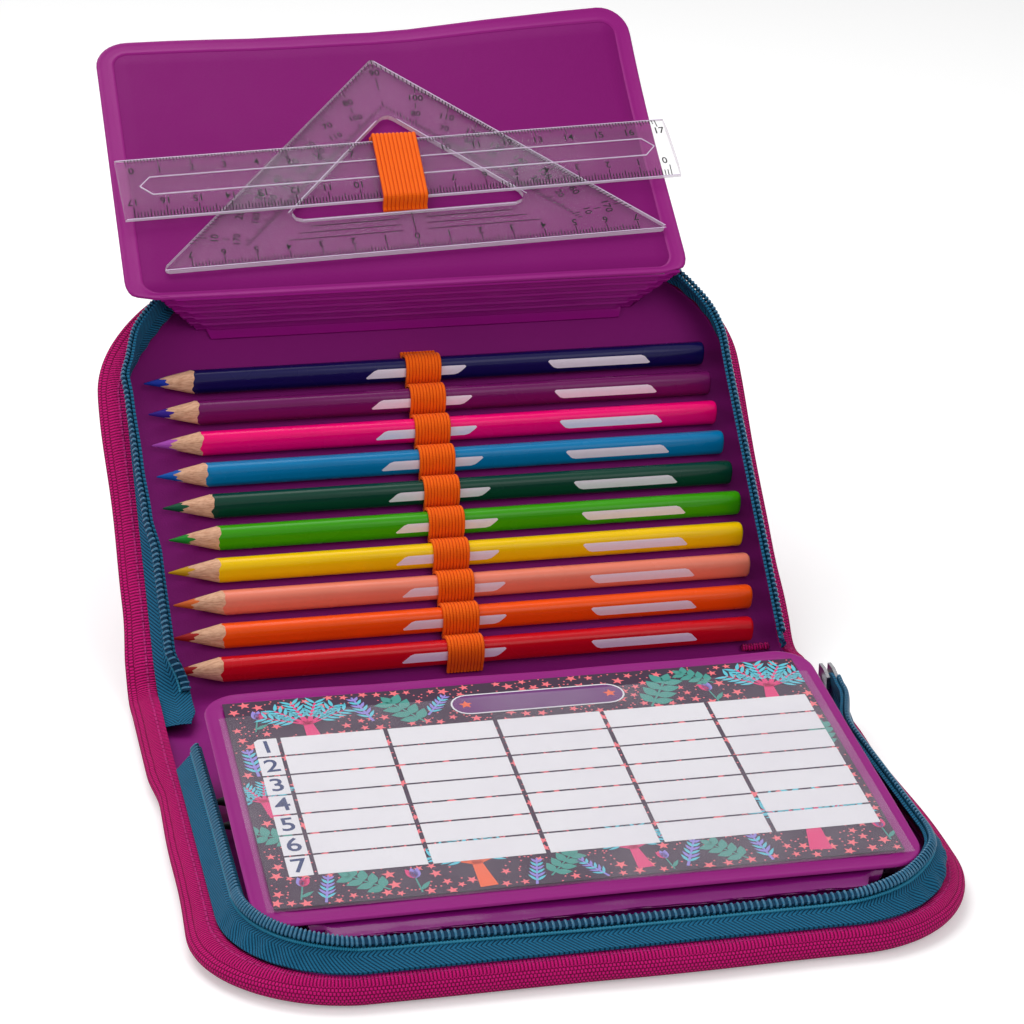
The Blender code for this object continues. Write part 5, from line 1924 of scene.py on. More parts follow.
@dataclass
class FlatPrint:
    """Prints flat shapes onto one draft, a hair's breadth above each other."""

    draft: MeshDraft
    origin: Vector
    right: Vector
    up: Vector
    lift: float = 0.00002

    def spot(self, x: float, y: float, layer: int) -> Vector:
        """The place of a print point on its layer."""
        normal = self.right.cross(self.up)
        return self.origin + self.right * x + self.up * y + normal * (self.lift * layer)

    def shape(self, points: Sequence[Point2], layer: int, slot: int) -> None:
        """Print one filled shape."""
        self.draft.polygon([self.spot(x, y, layer) for x, y in points], slot)

    def line(self, start: Point2, end: Point2, width: float, layer: int, slot: int) -> None:
        """Print a straight line of a width."""
        a, b = Vector(start), Vector(end)
        side = (b - a).normalized().orthogonal() * (width / 2)
        self.shape([tuple(a + side), tuple(a - side), tuple(b - side), tuple(b + side)], layer, slot)

    def numeral(self, text: str, place: Point2, size: float, turn: float, layer: int, slot: int) -> None:
        """Print a plain number.

        Args:
            text: The number.
            place: Its centre.
            size: Its height.
            turn: Its angle in radians.
            layer: Its print layer.
            slot: Its material.
        """
        c, s = math.cos(turn), math.sin(turn)
        for corners in numeral_faces(text):
            points = []
            for x, y in corners:
                points.append((place[0] + size * (x * c - y * s), place[1] + size * (x * s + y * c)))
            self.shape(points, layer, slot)


NUMERALS: dict[str, list[list[Point2]]] = {}


def numeral_faces(text: str) -> list[list[Point2]]:
    """Faces of a plain number of height 1, centred on the origin.

    Args:
        text: The number.

    Returns:
        The corners of each face.
    """
    if text not in NUMERALS:
        curve = bpy.data.curves.new("numeral", "FONT")
        curve.body = text
        curve.align_x, curve.align_y = "CENTER", "CENTER"
        curve.resolution_u = 3
        curve.offset = 0.012
        holder = bpy.data.objects.new("numeral", curve)
        bpy.context.scene.collection.objects.link(holder)
        graph = bpy.context.evaluated_depsgraph_get()
        mesh = bpy.data.meshes.new_from_object(holder.evaluated_get(graph))
        scale = 1 / 0.7
        faces = [
            [(mesh.vertices[i].co.x * scale, mesh.vertices[i].co.y * scale) for i in face.vertices]
            for face in mesh.polygons
        ]
        bpy.data.objects.remove(holder, do_unlink=True)
        bpy.data.curves.remove(curve)
        bpy.data.meshes.remove(mesh)
        NUMERALS[text] = faces
    return NUMERALS[text]


PRINT_NAMES = (
    "print_white", "print_plum", "print_coral", "print_teal", "print_sky", "print_lilac", "print_pink",
    "print_orange", "print_violet", "print_navy",
)
WHITE, PLUM, CORAL, TEAL, SKY, LILAC, PINK, ORANGE, VIOLET, NAVY = range(len(PRINT_NAMES))


@dataclass
class TimetableCard:
    """Printed card with a blank timetable, and the clear film over it."""

    frame: Matrix
    sheet_top: float
    lead: float
    width: float = 0.1595
    length: float = 0.0956
    margin: float = 0.0057
    thickness: float = 0.0003
    gap: float = 0.0003
    columns: tuple[float, ...] = (0.0122, 0.0408, 0.0706, 0.0999, 0.1292, 0.1580)
    first_row: float = 0.0190
    row_pitch: float = 0.0092
    rows: int = 7
    line: float = 0.0007

    def build(self, finishes: Finishes) -> list[bpy.types.Object]:
        """Make the card and its film.

        Args:
            finishes: Materials of the case.

        Returns:
            The two pieces.
        """
        return [self.card(finishes), self.film(finishes)]

    @property
    def low(self) -> float:
        """Height of the card's underside in the flap's frame."""
        return self.sheet_top + self.gap

    @property
    def near(self) -> float:
        """Distance of the card's near edge from the hinge."""
        return self.lead + self.margin

    def card(self, finishes: Finishes) -> bpy.types.Object:
        """Make the printed card."""
        draft = MeshDraft()
        x, y0, y1 = self.width / 2, self.near, self.near + self.length
        rows = [
            [Vector((-x, y0, z)), Vector((x, y0, z)), Vector((x, y1, z)), Vector((-x, y1, z))]
            for z in (self.low, self.low + self.thickness)
        ]
        draft.strip(rows, slot=PLUM)
        corner = Vector((-x, y1, self.low + self.thickness))
        ink = FlatPrint(draft, corner, Vector((1, 0, 0)), Vector((0, 1, 0)))
        self.pattern(ink)
        self.table(ink)
        self.title(ink)
        made = draft.finish(
            "timetable_print", [finishes[name] for name in PRINT_NAMES], self.frame, 30.0, closed=False
        )
        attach(made, "timetable_flap")
        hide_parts("timetable_card")
        return made

    def free(self, x: float, y: float, room: float) -> bool:
        """Whether a motif at a place keeps clear of the card's edge."""
        return room < x < self.width - room and -self.length + room < y < -room

    def pattern(self, ink: FlatPrint) -> None:
        """Scatter the generic motifs round the table."""
        rng = random.Random(11)
        placed: list[tuple[float, float, float]] = []

        def room_for(x: float, y: float, radius: float, margin: float) -> bool:
            """Whether a place is free of other motifs."""
            if not self.free(x, y, margin):
                return False
            return all(math.hypot(x - a, y - b) > radius + r for a, b, r in placed)

        large = (
            (Motif.TREE, 0.0210, -0.0120, 0.0230, 0.1), (Motif.TREE, 0.1400, -0.0780, 0.0290, -0.1),
            (Motif.TREE, 0.0520, -0.0830, 0.0230, 0.1), (Motif.TREE, 0.1490, -0.0120, 0.0240, -0.1),
            (Motif.TREE, 0.0040, -0.0480, 0.0170, 0.3), (Motif.TREE, 0.0920, -0.0830, 0.0200, 0.1),
            (Motif.LEAF, 0.0480, -0.0110, 0.0150, 0.6), (Motif.LEAF, 0.1180, -0.0120, 0.0160, -0.5),
            (Motif.LEAF, 0.0040, -0.0650, 0.0130, 1.2), (Motif.LEAF, 0.0240, -0.0880, 0.0130, 0.9),
            (Motif.LEAF, 0.1300, -0.0060, 0.0110, 0.9), (Motif.LEAF, 0.0730, -0.0880, 0.0120, -0.7),
            (Motif.LEAF, 0.1150, -0.0890, 0.0120, 0.8), (Motif.LEAF, 0.1555, -0.0400, 0.0130, -0.2),
            (Motif.SPRIG, 0.0365, -0.0080, 0.0140, 0.3), (Motif.SPRIG, 0.0800, -0.0905, 0.0110, 0.6),
            (Motif.SPRIG, 0.1060, -0.0880, 0.0130, -0.4), (Motif.SPRIG, 0.0040, -0.0300, 0.0140, 0.1),
            (Motif.SPRIG, 0.0570, -0.0090, 0.0120, -0.6), (Motif.SPRIG, 0.0140, -0.0890, 0.0120, -0.2),
            (Motif.SPRIG, 0.0660, -0.0900, 0.0120, -0.2), (Motif.SPRIG, 0.1240, -0.0885, 0.0130, 0.2),
            (Motif.TULIP, 0.0360, -0.0890, 0.0110, 0.1), (Motif.TULIP, 0.0080, -0.0880, 0.0100, -0.2),
            (Motif.TULIP, 0.0990, -0.0905, 0.0090, 0.2), (Motif.TULIP, 0.1320, -0.0140, 0.0110, 0.2),
            (Motif.TULIP, 0.0080, -0.0100, 0.0110, -0.2), (Motif.TULIP, 0.1570, -0.0860, 0.0100, 0.1),
        )
        for kind, x, y, size, turn in large:
            self.motif(ink, kind, x, y, size, turn, rng)
            placed.append((x, y, size * 0.30))
        for _ in range(3000):
            x, y = rng.uniform(0, self.width), -rng.uniform(0, self.length)
            radius = rng.uniform(0.0012, 0.0019)
            if room_for(x, y, radius, radius * 0.5):
                self.motif(ink, Motif.STAR, x, y, radius, rng.uniform(0, 2), rng)
                placed.append((x, y, radius + 0.0002))
        for _ in range(4000):
            x, y = rng.uniform(0, self.width), -rng.uniform(0, self.length)
            if room_for(x, y, 0.0003, 0.0004):
                self.motif(ink, Motif.DOT, x, y, 0.00028, 0.0, rng)
                placed.append((x, y, 0.0005))

    def motif(
        self, ink: FlatPrint, kind: Motif, x: float, y: float, size: float, turn: float, rng: random.Random
    ) -> None:
        """Print one motif.

        Args:
            ink: Where it is printed.
            kind: The motif.
            x: Its place across the card.
            y: Its place up the card.
            size: Its height, or its radius for a star or dot.
            turn: Its angle.
            rng: Source of its variation.
        """
        c, s = math.cos(turn), math.sin(turn)

        def put(points: Sequence[Point2], layer: int, slot: int) -> None:
            """Print a shape in the motif's own frame."""
            placed = [(x + size * (a * c - b * s), y + size * (a * s + b * c)) for a, b in points]
            placed = [(min(max(a, 0.0), self.width), min(max(b, -self.length), 0.0)) for a, b in placed]
            ink.shape(placed, layer, slot)

        def leaf(at: Point2, length: float, width: float, angle: float, layer: int, slot: int) -> None:
            """Print one pointed leaf."""
            points = []
            for side in (1, -1):
                for i in range(6):
                    share = i / 6 if side == 1 else 1 - i / 6
                    along, across = length * share, side * width * math.sin(math.pi * share**0.8)
                    leaf_x = at[0] + along * math.sin(angle) + across * math.cos(angle)
                    leaf_y = at[1] + along * math.cos(angle) - across * math.sin(angle)
                    points.append((leaf_x, leaf_y))
            put(points, layer, slot)

        if kind is Motif.STAR:
            put(star(1.0, 0.42), 2, CORAL)
        elif kind is Motif.DOT:
            put([(math.cos(math.pi * i / 3), math.sin(math.pi * i / 3)) for i in range(6)], 1, CORAL)
        elif kind is Motif.LEAF:
            put([(-0.02, -0.5), (0.02, -0.5), (0.02, 0.4), (-0.02, 0.4)], 3, TEAL)
            for i in range(4):
                for side in (-1, 1):
                    leaf((0.0, -0.35 + 0.22 * i), 0.36, 0.10, side * 1.0, 4, TEAL)
            leaf((0.0, 0.35), 0.3, 0.09, 0.0, 4, TEAL)
        elif kind is Motif.SPRIG:
            put([(-0.03, -0.5), (0.03, -0.5), (0.02, 0.45), (-0.02, 0.45)], 3, LILAC)
            for i in range(6):
                for side in (-1, 1):
                    leaf(
                        (0.0, -0.35 + 0.13 * i), 0.28 - 0.02 * i, 0.035, side * 0.75, 4,
                        LILAC if i % 2 else SKY,
                    )
        elif kind is Motif.TREE:
            colour = PINK if rng.random() < 0.7 else ORANGE
            put([(-0.10, -0.5), (0.10, -0.5), (0.05, 0.0), (-0.05, 0.0)], 3, colour)
            for angle in (-1.0, -0.55, -0.12, 0.3, 0.75, 1.15):
                reach = 0.62 + 0.08 * math.cos(3 * angle)
                tip = (reach * math.sin(angle), 0.6 * reach * math.cos(angle))
                put(
                    [(-0.04, -0.08), (0.04, -0.08), (tip[0] + 0.012, tip[1]), (tip[0] - 0.012, tip[1])],
                    4, colour,
                )
                for k in range(5):
                    share = 0.35 + 0.15 * k
                    spot = (tip[0] * share, -0.08 + (tip[1] + 0.08) * share)
                    for side in (-1, 1):
                        leaf(spot, 0.17, 0.022, angle + side * 0.8, 5, SKY)
        else:
            put([(-0.02, -0.5), (0.02, -0.5), (0.02, 0.1), (-0.02, 0.1)], 3, TEAL)
            for angle in (-0.35, 0.0, 0.35):
                leaf((0.0, 0.05), 0.42, 0.10, angle, 4, PINK if rng.random() < 0.5 else LILAC)
            leaf((0.0, -0.4), 0.4, 0.06, 0.8, 4, TEAL)

    def table(self, ink: FlatPrint) -> None:
        """Print the blank timetable with its seven numbered rows."""
        gap, slit = self.line / 2, self.line * 0.85
        for row in range(self.rows):
            top = -self.first_row - row * self.row_pitch
            low = top - self.row_pitch
            cut = 0.0012 if row == 0 else 0.0
            number = [
                (0.0056 + cut, top - gap), (0.0117, top - gap), (0.0117, low + gap), (0.0056, low + gap),
                (0.0056, top - gap - cut),
            ]
            ink.shape(number if cut else number[:4], 6, WHITE)
            ink.numeral(str(row + 1), (0.0087, (top + low) / 2), 0.0058, 0.06, 7, NAVY)
            for left, right in zip(self.columns, self.columns[1:]):
                cell = [
                    (left + slit, top - gap), (right - slit, top - gap), (right - slit, low + gap),
                    (left + slit, low + gap),
                ]
                ink.shape(cell, 6, WHITE)

    def title(self, ink: FlatPrint) -> None:
        """Print the title's bare plaque with its outline."""
        for grow, layer, slot in ((0.0, 6, PLUM), (-0.0002, 7, WHITE), (-0.0007, 8, VIOLET)):
            half, radius = 0.0238 - 0.0047, 0.0052 + grow
            points = []
            for side in (1, -1):
                for i in range(11):
                    turn = math.radians(-90 + 18 * i) * side if side == 1 else math.radians(90 + 18 * i)
                    points.append(
                        (0.0845 + side * half + radius * math.cos(turn), -0.0105 + radius * math.sin(turn))
                    )
            ink.shape(points, layer, slot)
        for x in (0.0645, 0.1045):
            ink.shape([(x + a, -0.0105 + b) for a, b in star(0.0019, 0.0009)], 9, ORANGE)

    def film(self, finishes: Finishes) -> bpy.types.Object:
        """Make the clear film, welded round three sides and open towards the spine."""
        border, mouth, thick = 0.0020, 0.0080, 0.0003
        half = self.width / 2 + border
        near, far = self.near - border, self.near + self.length - mouth
        low = self.low + self.thickness + self.gap
        rows = []
        for r in range(49):
            x = -half + 2 * half * r / 48
            face, back = [], []
            for k in range(29):
                y = near + (far - near) * k / 28
                loose = ease((half - abs(x)) / 0.012) * ease((y - near) / 0.01)
                wave = 0.00010 * math.sin(x * 60 + y * 45) + 0.00008 * math.sin(x * 130 - y * 170)
                lift = low + 0.00012 + loose * wave + 0.0002 * ease((y - far + 0.003) / 0.003) * loose
                face.append(Vector((x, y, lift + thick * 0.6)))
                back.append(Vector((x, y, lift)))
            rows.append(face + back[::-1])
        draft = MeshDraft()
        draft.strip(rows)
        made = draft.finish("pocket_film_sheet", [finishes["pocket_film"]], self.frame, 60.0)
        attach(made, "timetable_flap")
        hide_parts("card_pocket")
        return made


@dataclass
class DrawingTools:
    """Scales printed on the clear ruler and set square, painted highlight strips along their edges, and the
    strap that holds them.
    """

    flap: Matrix
    turn: float = math.radians(2.7)
    ruler_length: float = 0.170
    ruler_top: float = 0.0070
    ruler_drop: float = 0.0011
    square_top: float = 0.0047
    square_reach: float = 0.080
    hole_top: float = 0.0565
    hole_foot: float = 0.0157
    stroke: float = 0.00030
    # Width of the painted highlight strips.
    glint: float = 0.00030
    strap_near: float = 0.03217
    strap_far: float = 0.06283

    def build(self, finishes: Finishes) -> list[bpy.types.Object]:
        """Make both scales and the strap.

        Args:
            finishes: Materials of the case.

        Returns:
            The three pieces.
        """
        return [self.ruler_scale(finishes), self.square_scale(finishes), self.strap(finishes)]

    def ink(self, x: float, y: float, height: float) -> tuple[MeshDraft, FlatPrint]:
        """Start printing on a tool whose centre lies at a place on the flap."""
        draft = MeshDraft()
        frame = Matrix.Translation((x, y, 0.0)) @ Matrix.Rotation(self.turn, 4, "Z")
        origin = frame @ Vector((0.0, 0.0, height))
        right, up = frame.to_3x3() @ Vector((1, 0, 0)), frame.to_3x3() @ Vector((0, 1, 0))
        return draft, FlatPrint(draft, origin, right, up, 0.00003)

    def ruler_scale(self, finishes: Finishes) -> bpy.types.Object:
        """Print a scale of 17 cm along both edges of the ruler, with painted highlight strips along its long
        edges and round its groove.
        """
        draft, ink = self.ink(0.001, 0.0475, self.ruler_top)
        for edge in (1, -1):
            for i in range(171):
                x = edge * (-self.ruler_length / 2 + i * 0.001)
                reach = 0.0036 if i % 10 == 0 else (0.0028 if i % 5 == 0 else 0.0020)
                corners = []
                for dx, y in ((-1, 0.0117), (1, 0.0117), (1, 0.0117 - reach), (-1, 0.0117 - reach)):
                    corners.append(self.bevelled(ink, x + dx * self.stroke / 2, edge * y))
                draft.polygon(corners)
                if i % 10 == 0:
                    place = (x + edge * (0.0013 if i == 0 else 0.0), edge * 0.0062)
                    ink.numeral(str(i // 10), place, 0.0025, 0.0 if edge == 1 else math.pi, 1, 0)
            half = self.ruler_length / 2 + 0.0026
            # A strip of painted highlight along each long edge.
            strip = ((-half, 0.0120), (half, 0.0120), (half, 0.0117), (-half, 0.0117))
            draft.polygon([self.bevelled(ink, x, edge * y) for x, y in strip], 1)
        # Painted highlight lines round the groove's rim.
        groove = [
            (-0.0819, 0.0), (-0.0784, -0.0035), (0.0784, -0.0035), (0.0819, 0.0), (0.0784, 0.0035),
            (-0.0784, 0.0035),
        ]
        for start, end in zip(groove, groove[1:] + groove[:1]):
            ink.line(start, end, self.glint, 1, 1)
        made = draft.finish(
            "ruler_scale", [finishes["ink_black"], finishes["painted_edge_highlight"]], self.flap, 30.0, closed=False
        )
        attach(made, "ruler")
        return made

    def bevelled(self, ink: FlatPrint, x: float, y: float) -> Vector:
        """A print point on the ruler, whose face slopes down towards its two long edges."""
        drop = max(abs(y) - 0.007, 0.0) / 0.005 * self.ruler_drop
        return ink.spot(x, y, 1) - ink.right.cross(ink.up) * drop

    def square_scale(self, finishes: Finishes) -> bpy.types.Object:
        """Print a centimetre scale and a protractor on the set square, with painted highlight lines along some
        of its edges and round its hole.
        """
        draft, ink = self.ink(0.002, 0.0155, self.square_top)
        for i in range(-70, 71):
            reach = 0.0034 if i % 10 == 0 else (0.0026 if i % 5 == 0 else 0.0018)
            ink.line((i * 0.001, 0.0004), (i * 0.001, 0.0004 + reach), self.stroke, 1, 0)
            if i % 10 == 0:
                ink.numeral(str(abs(i) // 10), (i * 0.001, 0.0055), 0.0025, math.pi, 1, 0)
        for degree in range(8, 173):
            turn = math.radians(degree)
            c, s = math.cos(turn), math.sin(turn)
            edge = self.square_reach / (abs(c) + s) - 0.0005
            inner = (self.hole_top + 0.0024) / (abs(c) + s)
            long = degree % 10 == 0
            reach = 0.0034 if long else (0.0026 if degree % 5 == 0 else 0.0018)
            ink.line((edge * c, edge * s), ((edge - reach) * c, (edge - reach) * s), self.stroke, 1, 0)
            ink.line(
                (inner * c, inner * s), ((inner + reach * 0.8) * c, (inner + reach * 0.8) * s),
                self.stroke, 1, 0,
            )
            if long and 10 <= degree <= 170:
                out, back = edge - 0.0058, inner + 0.0052
                ink.numeral(str(180 - degree), (out * c, out * s), 0.0024, turn - math.pi / 2, 1, 0)
                if degree != 90:
                    ink.numeral(str(degree), (back * c, back * s), 0.0022, turn - math.pi / 2, 1, 0)
                ink.line(
                    (c * (out - 0.0022), s * (out - 0.0022)), (c * (back + 0.0022), s * (back + 0.0022)),
                    self.stroke, 1, 0,
                )
        for y, half in ((0.0078, 0.040), (0.0102, 0.036), (0.0126, 0.032)):
            ink.line((-half, y), (-0.004, y), self.stroke, 1, 0)
            ink.line((0.004, y), (half, y), self.stroke, 1, 0)
        ink.line((0.0, 0.0072), (0.0, 0.0146), self.stroke, 1, 0)
        hole, foot = self.hole_top - self.hole_foot, self.hole_foot - 0.0004
        # Painted highlight lines along the long edge, one slanted edge and round the hole.
        glints = [((-0.0785, 0.0003), (0.0785, 0.0003)), ((-hole + 0.007, foot), (hole - 0.007, foot))]
        glints.append(((0.0786, 0.0011), (0.0008, 0.0789)))
        for side in (1, -1):
            glints.append(((side * (hole - 0.0030), foot + 0.0034), (side * 0.0034, self.hole_top - 0.0030)))
        for start, end in glints:
            ink.line(start, end, self.glint, 1, 1)
        made = draft.finish(
            "square_scale", [finishes["ink_black"], finishes["painted_edge_highlight"]], self.flap, 30.0, closed=False
        )
        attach(made, "set_square")
        return made

    def strap(self, finishes: Finishes) -> bpy.types.Object:
        """Make the strap over the ruler."""
        low, over = 0.0028 + 0.0003 + 0.00045, 0.0073 + 0.00045
        near, far = self.strap_near, self.strap_far
        path = [
            (near, low), (near + 0.0018, low), (near + 0.0021, over), (near + 0.0040, over + 0.0001),
            ((near + far) / 2, over + 0.0002), (far - 0.0040, over + 0.0001), (far - 0.0021, over),
            (far - 0.0018, low), (far, low),
        ]
        band = ElasticBand("strap_band", "ruler_flap", "ruler_strap", self.flap, path, width=0.0140, cords=11)
        return band.build(finishes)


@dataclass
class LidContents:
    """Pencils, their band and the sewn tab in the lid."""

    sizes: CaseSizes = SIZES
    shape: PencilShape = field(default_factory=PencilShape)
    travel: float = 0.0040
    shifts: tuple[float, ...] = (0.1, 0.2, 0.2, 0.3, 0.5, 0.7, 0.4, 0.5, 0.2, -0.2)
    plaques: tuple[tuple[float, float, float], ...] = ((-0.0184, 0.0104, 0.0032), (0.0382, 0.0690, -0.0026))

    def build(self, finishes: Finishes) -> list[bpy.types.Object]:
        """Make the lid's contents.

        Args:
            finishes: Materials of the case.

        Returns:
            The pieces.
        """
        height = self.sizes.gap + self.shape.radius_at(-math.pi / 2)
        made = []
        for i, (name, _, _) in enumerate(PENCILS):
            row = self.sizes.pencil_rows[len(PENCILS) - 1 - i]
            frame = self.sizes.lid_frame @ Matrix.Translation((self.shifts[i] * self.travel, row, height))
            pencil = Pencil(
                f"pencil_{i + 1:02d}", self.shape, frame, f"barrel_{name}", f"lead_{name}", i + 3,
                self.plaques,
            )
            made.append(pencil.build(finishes))
        made.append(self.band(finishes, height))
        made.append(self.tab(finishes))
        return made

    def band(self, finishes: Finishes, height: float) -> bpy.types.Object:
        """Make the band with a loop for each pencil."""
        band = ElasticBand(
            "pencil_band", "lid", "pencil_elastic", self.sizes.lid_frame, [], -0.0014, 0.0109, cords=11
        )
        flat = self.sizes.gap + band.thickness / 2
        rows = self.sizes.pencil_rows
        half = (rows[1] - rows[0]) / 2
        path = [(rows[0] - half - 0.0005, flat)]
        for row in rows:
            for k in range(15):
                y, z = self.shape.surface(math.radians(188 - 196 * k / 14), 0.00035 + band.thickness / 2)
                path.append((row + y, height + z))
            path.append((row + half, flat if row != rows[-1] else flat + 0.0002))
        path += [(rows[-1] + half + 0.0010, flat + 0.0003), (rows[-1] + half + 0.0021, flat + 0.0002)]
        band.path = path
        return band.build(finishes)

    def tab(self, finishes: Finishes) -> bpy.types.Object:
        """Make the short sewn tab beside the zip's end."""
        draft = MeshDraft()
        rows, steps = [], 24
        for i in range(steps + 1):
            x = 0.0835 + 0.0085 * i / steps
            swell = 0.75 + 0.40 * abs(math.sin(math.pi * i / 4.8))
            ring = []
            for k in range(12):
                turn = 2 * math.pi * k / 12
                y = 0.0012 + 0.00100 * math.copysign(abs(math.cos(turn)) ** 0.6, math.cos(turn)) * swell
                z = 0.00105 + 0.00070 * math.copysign(abs(math.sin(turn)) ** 0.6, math.sin(turn)) * swell
                ring.append(Vector((x, y, z)))
            rows.append(ring)
        draft.strip(rows)
        made = draft.finish("end_tab", [finishes["cover_cloth"]], self.sizes.lid_frame, 60.0)
        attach(made, "lid")
        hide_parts("zip_end_tab")
        return made


@dataclass
class BaseContents:
    """Graphite pencils and the band that holds them and the scissors."""

    sizes: CaseSizes = SIZES
    rows: tuple[float, ...] = (-0.052, -0.038)
    radius: float = 0.0036
    blade_y: float = -0.10232
    blade_half: float = 0.0097
    blade_top: float = 0.0045
    band_x: float = 0.044

    def build(self, finishes: Finishes) -> list[bpy.types.Object]:
        """Make the base's contents.

        Args:
            finishes: Materials of the case.

        Returns:
            The pieces.
        """
        height = self.sizes.gap + self.radius
        shape = PencilShape(radius=self.radius, lobe=0.0)
        made = []
        for i, (row, barrel) in enumerate(zip(self.rows, ("barrel_graphite_red", "barrel_graphite_black"))):
            frame = self.sizes.base_frame @ Matrix.Translation((0.0, row, height))
            made.append(
                Pencil(f"graphite_pencil_{i + 1}", shape, frame, barrel, "lead_core", 40 + i).build(finishes)
            )
        band = ElasticBand("base_band", "base", "base_elastic", self.sizes.base_frame, [], self.band_x)
        flat, lift = self.sizes.gap + band.thickness / 2, 0.00035 + band.thickness / 2
        side, over = self.blade_half + 0.0011, self.blade_top + lift + 0.0002
        left, right = self.blade_y - side, self.blade_y + side
        path = [
            (left - 0.0020, flat), (left - 0.0004, flat), (left, self.blade_top / 2), (left + 0.0006, over)
        ]
        path += [(right - 0.0006, over), (right, self.blade_top / 2), (right + 0.0004, flat)]
        for row in self.rows:
            path.append((row - self.radius - lift - 0.0004, flat))
            for k in range(13):
                turn = math.radians(184 - 188 * k / 12)
                reach = self.radius + lift
                path.append((row + reach * math.cos(turn), height + reach * math.sin(turn)))
            path.append((row + self.radius + lift + 0.0004, flat))
        path.append((self.rows[-1] + self.radius + 0.0020, flat))
        band.path = path
        made.append(band.build(finishes))
        return made


@dataclass
class Studio:
    """Camera at the photograph's angle, plain floor and soft light."""

    camera_place: tuple[float, float, float] = (-0.163453, -0.659103, 0.355933)
    camera_turn: tuple[float, float, float] = (68.9345, -0.7473, -12.6412)
    lens: float = 102.36
    floor_size: float = 3.0

    def build(self) -> None:
        """Set the camera, the floor, the lamps and the world."""
        scene = bpy.context.scene
        scene.view_settings.view_transform = "Standard"
        data = bpy.data.cameras.new("camera")
        data.lens, data.sensor_width = self.lens, 36.0
        data.clip_start, data.clip_end = 0.01, 50.0
        camera = bpy.data.objects.new("camera", data)
        camera.location = self.camera_place
        camera.rotation_euler = tuple(math.radians(turn) for turn in self.camera_turn)
        scene.collection.objects.link(camera)
        scene.camera = camera
        self.floor()
        self.lamp("top_softbox", (-0.25, 0.55, 1.25), (0.0, 0.05, 0.0), 1.0, 10.5)
        self.lamp("front_softbox", (0.45, -0.95, 0.85), (0.0, 0.0, 0.05), 0.8, 4.0)
        self.lamp("left_softbox", (-1.0, -0.25, 0.7), (0.0, 0.05, 0.03), 0.7, 2.6)
        self.world(0.40)

    def lamp(
        self, name: str, place: tuple[float, float, float], aim: tuple[float, float, float],
        size: float, power: float,
    ) -> None:
        """Add one soft lamp.

        Args:
            name: Name of the lamp.
            place: Where it stands.
            aim: The point that it faces.
            size: Side of its square.
            power: Its power in watts.
        """
        data = bpy.data.lights.new(name, "AREA")
        data.size, data.energy = size, power
        lamp = bpy.data.objects.new(name, data)
        lamp.location = place
        lamp.rotation_euler = (Vector(aim) - Vector(place)).to_track_quat("-Z", "Y").to_euler()
        bpy.context.scene.collection.objects.link(lamp)

    def floor(self) -> None:
        """Add the white floor, which keeps the case's shadow."""
        half = self.floor_size / 2
        mesh = bpy.data.meshes.new("floor")
        corners = [
            (-half, -half, -0.0002), (half, -half, -0.0002), (half, half, -0.0002), (-half, half, -0.0002)
        ]
        mesh.from_pydata(corners, [], [(0, 1, 2, 3)])
        paint = Paint("floor_white", 0.9)
        paint.shader.inputs["Base Color"].default_value = (0.86, 0.86, 0.86, 1.0)
        paint.shader.inputs["Emission Color"].default_value = (1.0, 1.0, 1.0, 1.0)
        paint.wiring.feed(paint.shader.inputs["Emission Strength"], self.background_rays(paint.wiring, 0.30))
        mesh.materials.append(paint.material)
        floor = bpy.data.objects.new("floor", mesh)
        bpy.context.scene.collection.objects.link(floor)
        floor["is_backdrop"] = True

    def background_rays(self, wiring: Wiring, strength: float) -> bpy.types.NodeSocket:
        """A strength for rays that see the background straight, in gloss or through glass, else 0."""
        rays = wiring.node("ShaderNodeLightPath")
        seen = wiring.math("MAXIMUM", rays.outputs["Is Camera Ray"], rays.outputs["Is Transmission Ray"])
        seen = wiring.math("MAXIMUM", seen, rays.outputs["Is Glossy Ray"])
        straight = wiring.math("SUBTRACT", 1.0, rays.outputs["Diffuse Depth"], clamp=True)
        return wiring.math("MULTIPLY", wiring.math("MULTIPLY", seen, straight), strength)

    def world(self, level: float) -> None:
        """Set a plain pale world that is white where it is seen."""
        world = bpy.data.worlds.new("studio_world")
        bpy.context.scene.world = world
        world.use_nodes = True
        wiring = Wiring(world.node_tree)
        background = world.node_tree.nodes["Background"]
        background.inputs["Color"].default_value = (1.0, 1.0, 1.0, 1.0)
        seen = self.background_rays(wiring, 1.0 - level)
        wiring.feed(background.inputs["Strength"], wiring.math("ADD", seen, level))


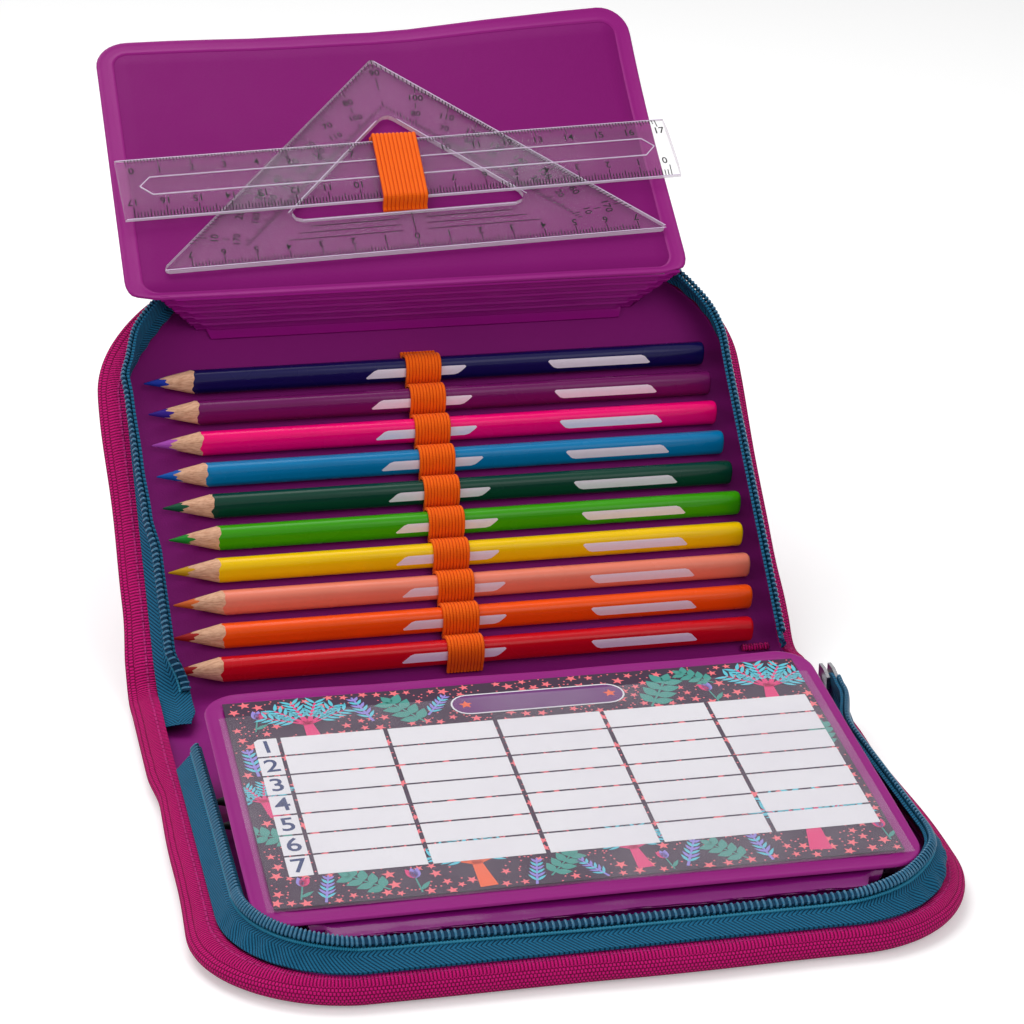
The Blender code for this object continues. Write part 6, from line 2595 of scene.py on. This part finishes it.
@dataclass
class PencilCase:
    """The whole case."""

    finishes: Finishes = field(default_factory=Finishes)
    sizes: CaseSizes = SIZES
    base_lean: tuple[Point2, ...] = (
        (0.0, 44), (0.10, 45), (0.20, 44), (0.30, 48), (0.38, 70), (0.50, 76),
        (0.62, 74), (0.70, 54), (0.76, 34), (0.92, 32), (0.98, 8), (1.0, 2),
    )
    lid_lean: tuple[Point2, ...] = (
        (0.0, 35), (0.07, 30), (0.10, 17), (0.14, 11), (0.19, 6), (0.22, 0), (0.27, -22), (0.33, -24),
        (0.42, -2), (0.60, 0), (0.68, 4), (0.74, 17), (0.82, 20), (1.0, 18),
    )

    @property
    def ruler_flap_frame(self) -> Matrix:
        """Where the frame of the flap over the lid stands."""
        place = self.sizes.lid_frame @ Matrix.Translation((-0.0015, 0.1154, 0.0191))
        return place @ Matrix.Rotation(math.radians(-11.1), 4, "X")

    @property
    def timetable_flap_frame(self) -> Matrix:
        """Where the frame of the flap over the base stands."""
        place = self.sizes.base_frame @ Matrix.Translation((0.0, -0.1248, 0.0158))
        return place @ Matrix.Rotation(math.radians(6.5), 4, "X")

    def build(self, nodes: dict[str, bpy.types.Object]) -> None:
        """Dress the whole case.

        Args:
            nodes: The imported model's nodes.
        """
        self.finishes.build()
        self.dress_nodes(nodes)
        upper, lower = self.ruler_flap_frame, self.timetable_flap_frame
        builders: list[Any] = [
            LeafShell(Side.BASE, "base"),
            LeafShell(Side.LID, "lid"),
            SpineSkin(),
            ZipRow(Side.BASE, "base", self.base_lean, tails=(-0.0080, 0.0060)),
            ZipRow(Side.LID, "lid", self.lid_lean, tails=(0.0260, 0.0120), coil_tails=(0.0120, 0.0100)),
            LidContents(),
            BaseContents(),
            WeldedFlap(
                "upper_flap_sheet", "ruler_flap", upper, 0.0, 0.0028, spread=0.0038, lift=0.0065, trim=0.0028
            ),
            WeldedFlap("lower_flap_sheet", "timetable_flap", lower, 0.005, -0.0054, phase=1.1),
            TimetableCard(lower, -0.0054, 0.005),
            DrawingTools(upper),
            PleatedHinge(
                "lid_pleats", "lid_accordion", Side.LID, "lid", "ruler_flap", 0.1190, (0.1196, 0.0202),
                0.0685, 0.0805, depth=0.0026,
            ),
            PleatedHinge(
                "base_pleats",
                "base_accordion",
                Side.BASE,
                "base",
                "timetable_flap",
                0.1190,
                (0.1188, 0.0096),
                0.063,
                0.073,
                pleats=3, depth=0.0052, wrinkle=0.0007, swell=0.0026, finish="base_pleat_sheet",
            ),
        ]
        for builder in builders:
            made = builder.build(self.finishes)
            for piece in made if isinstance(made, list) else [made]:
                log.info("%s: %d faces", piece.name, len(piece.data.polygons))

    def dress_nodes(self, nodes: dict[str, bpy.types.Object]) -> None:
        """Give every carried-over node its material."""
        dresses = {
            "base_board": "covered_board",
            "lid_board": "covered_board",
            "spine_board": "covered_board",
            "ruler": "scale_acrylic",
            "set_square": "scale_acrylic",
            "scissors_lower_blade": "blade_steel",
            "scissors_upper_blade": "blade_steel",
            "scissors_rivet": "blade_steel",
            "scissors_lower_handle": "scissors_plastic",
            "scissors_upper_handle": "scissors_plastic",
            "zip_slider": "dark_nickel",
            "zip_pull": "dark_nickel",
        }
        for node, material in dresses.items():
            for slot in nodes[node].material_slots:
                slot.material = self.finishes[material]
            log.info("%s keeps its shape", node)


def write_sizes(after: Any) -> None:
    """Take the visual model's box and do nothing with it."""
    import json


def main() -> None:
    """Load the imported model, dress it and light it."""
    logging.basicConfig(level=logging.INFO, format="%(name)s: %(message)s")
    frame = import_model()
    build_groups()
    PencilCase().build(frame["nodes"])
    Studio().build()
    write_sizes(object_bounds())


if __name__ == "__main__":
    main()
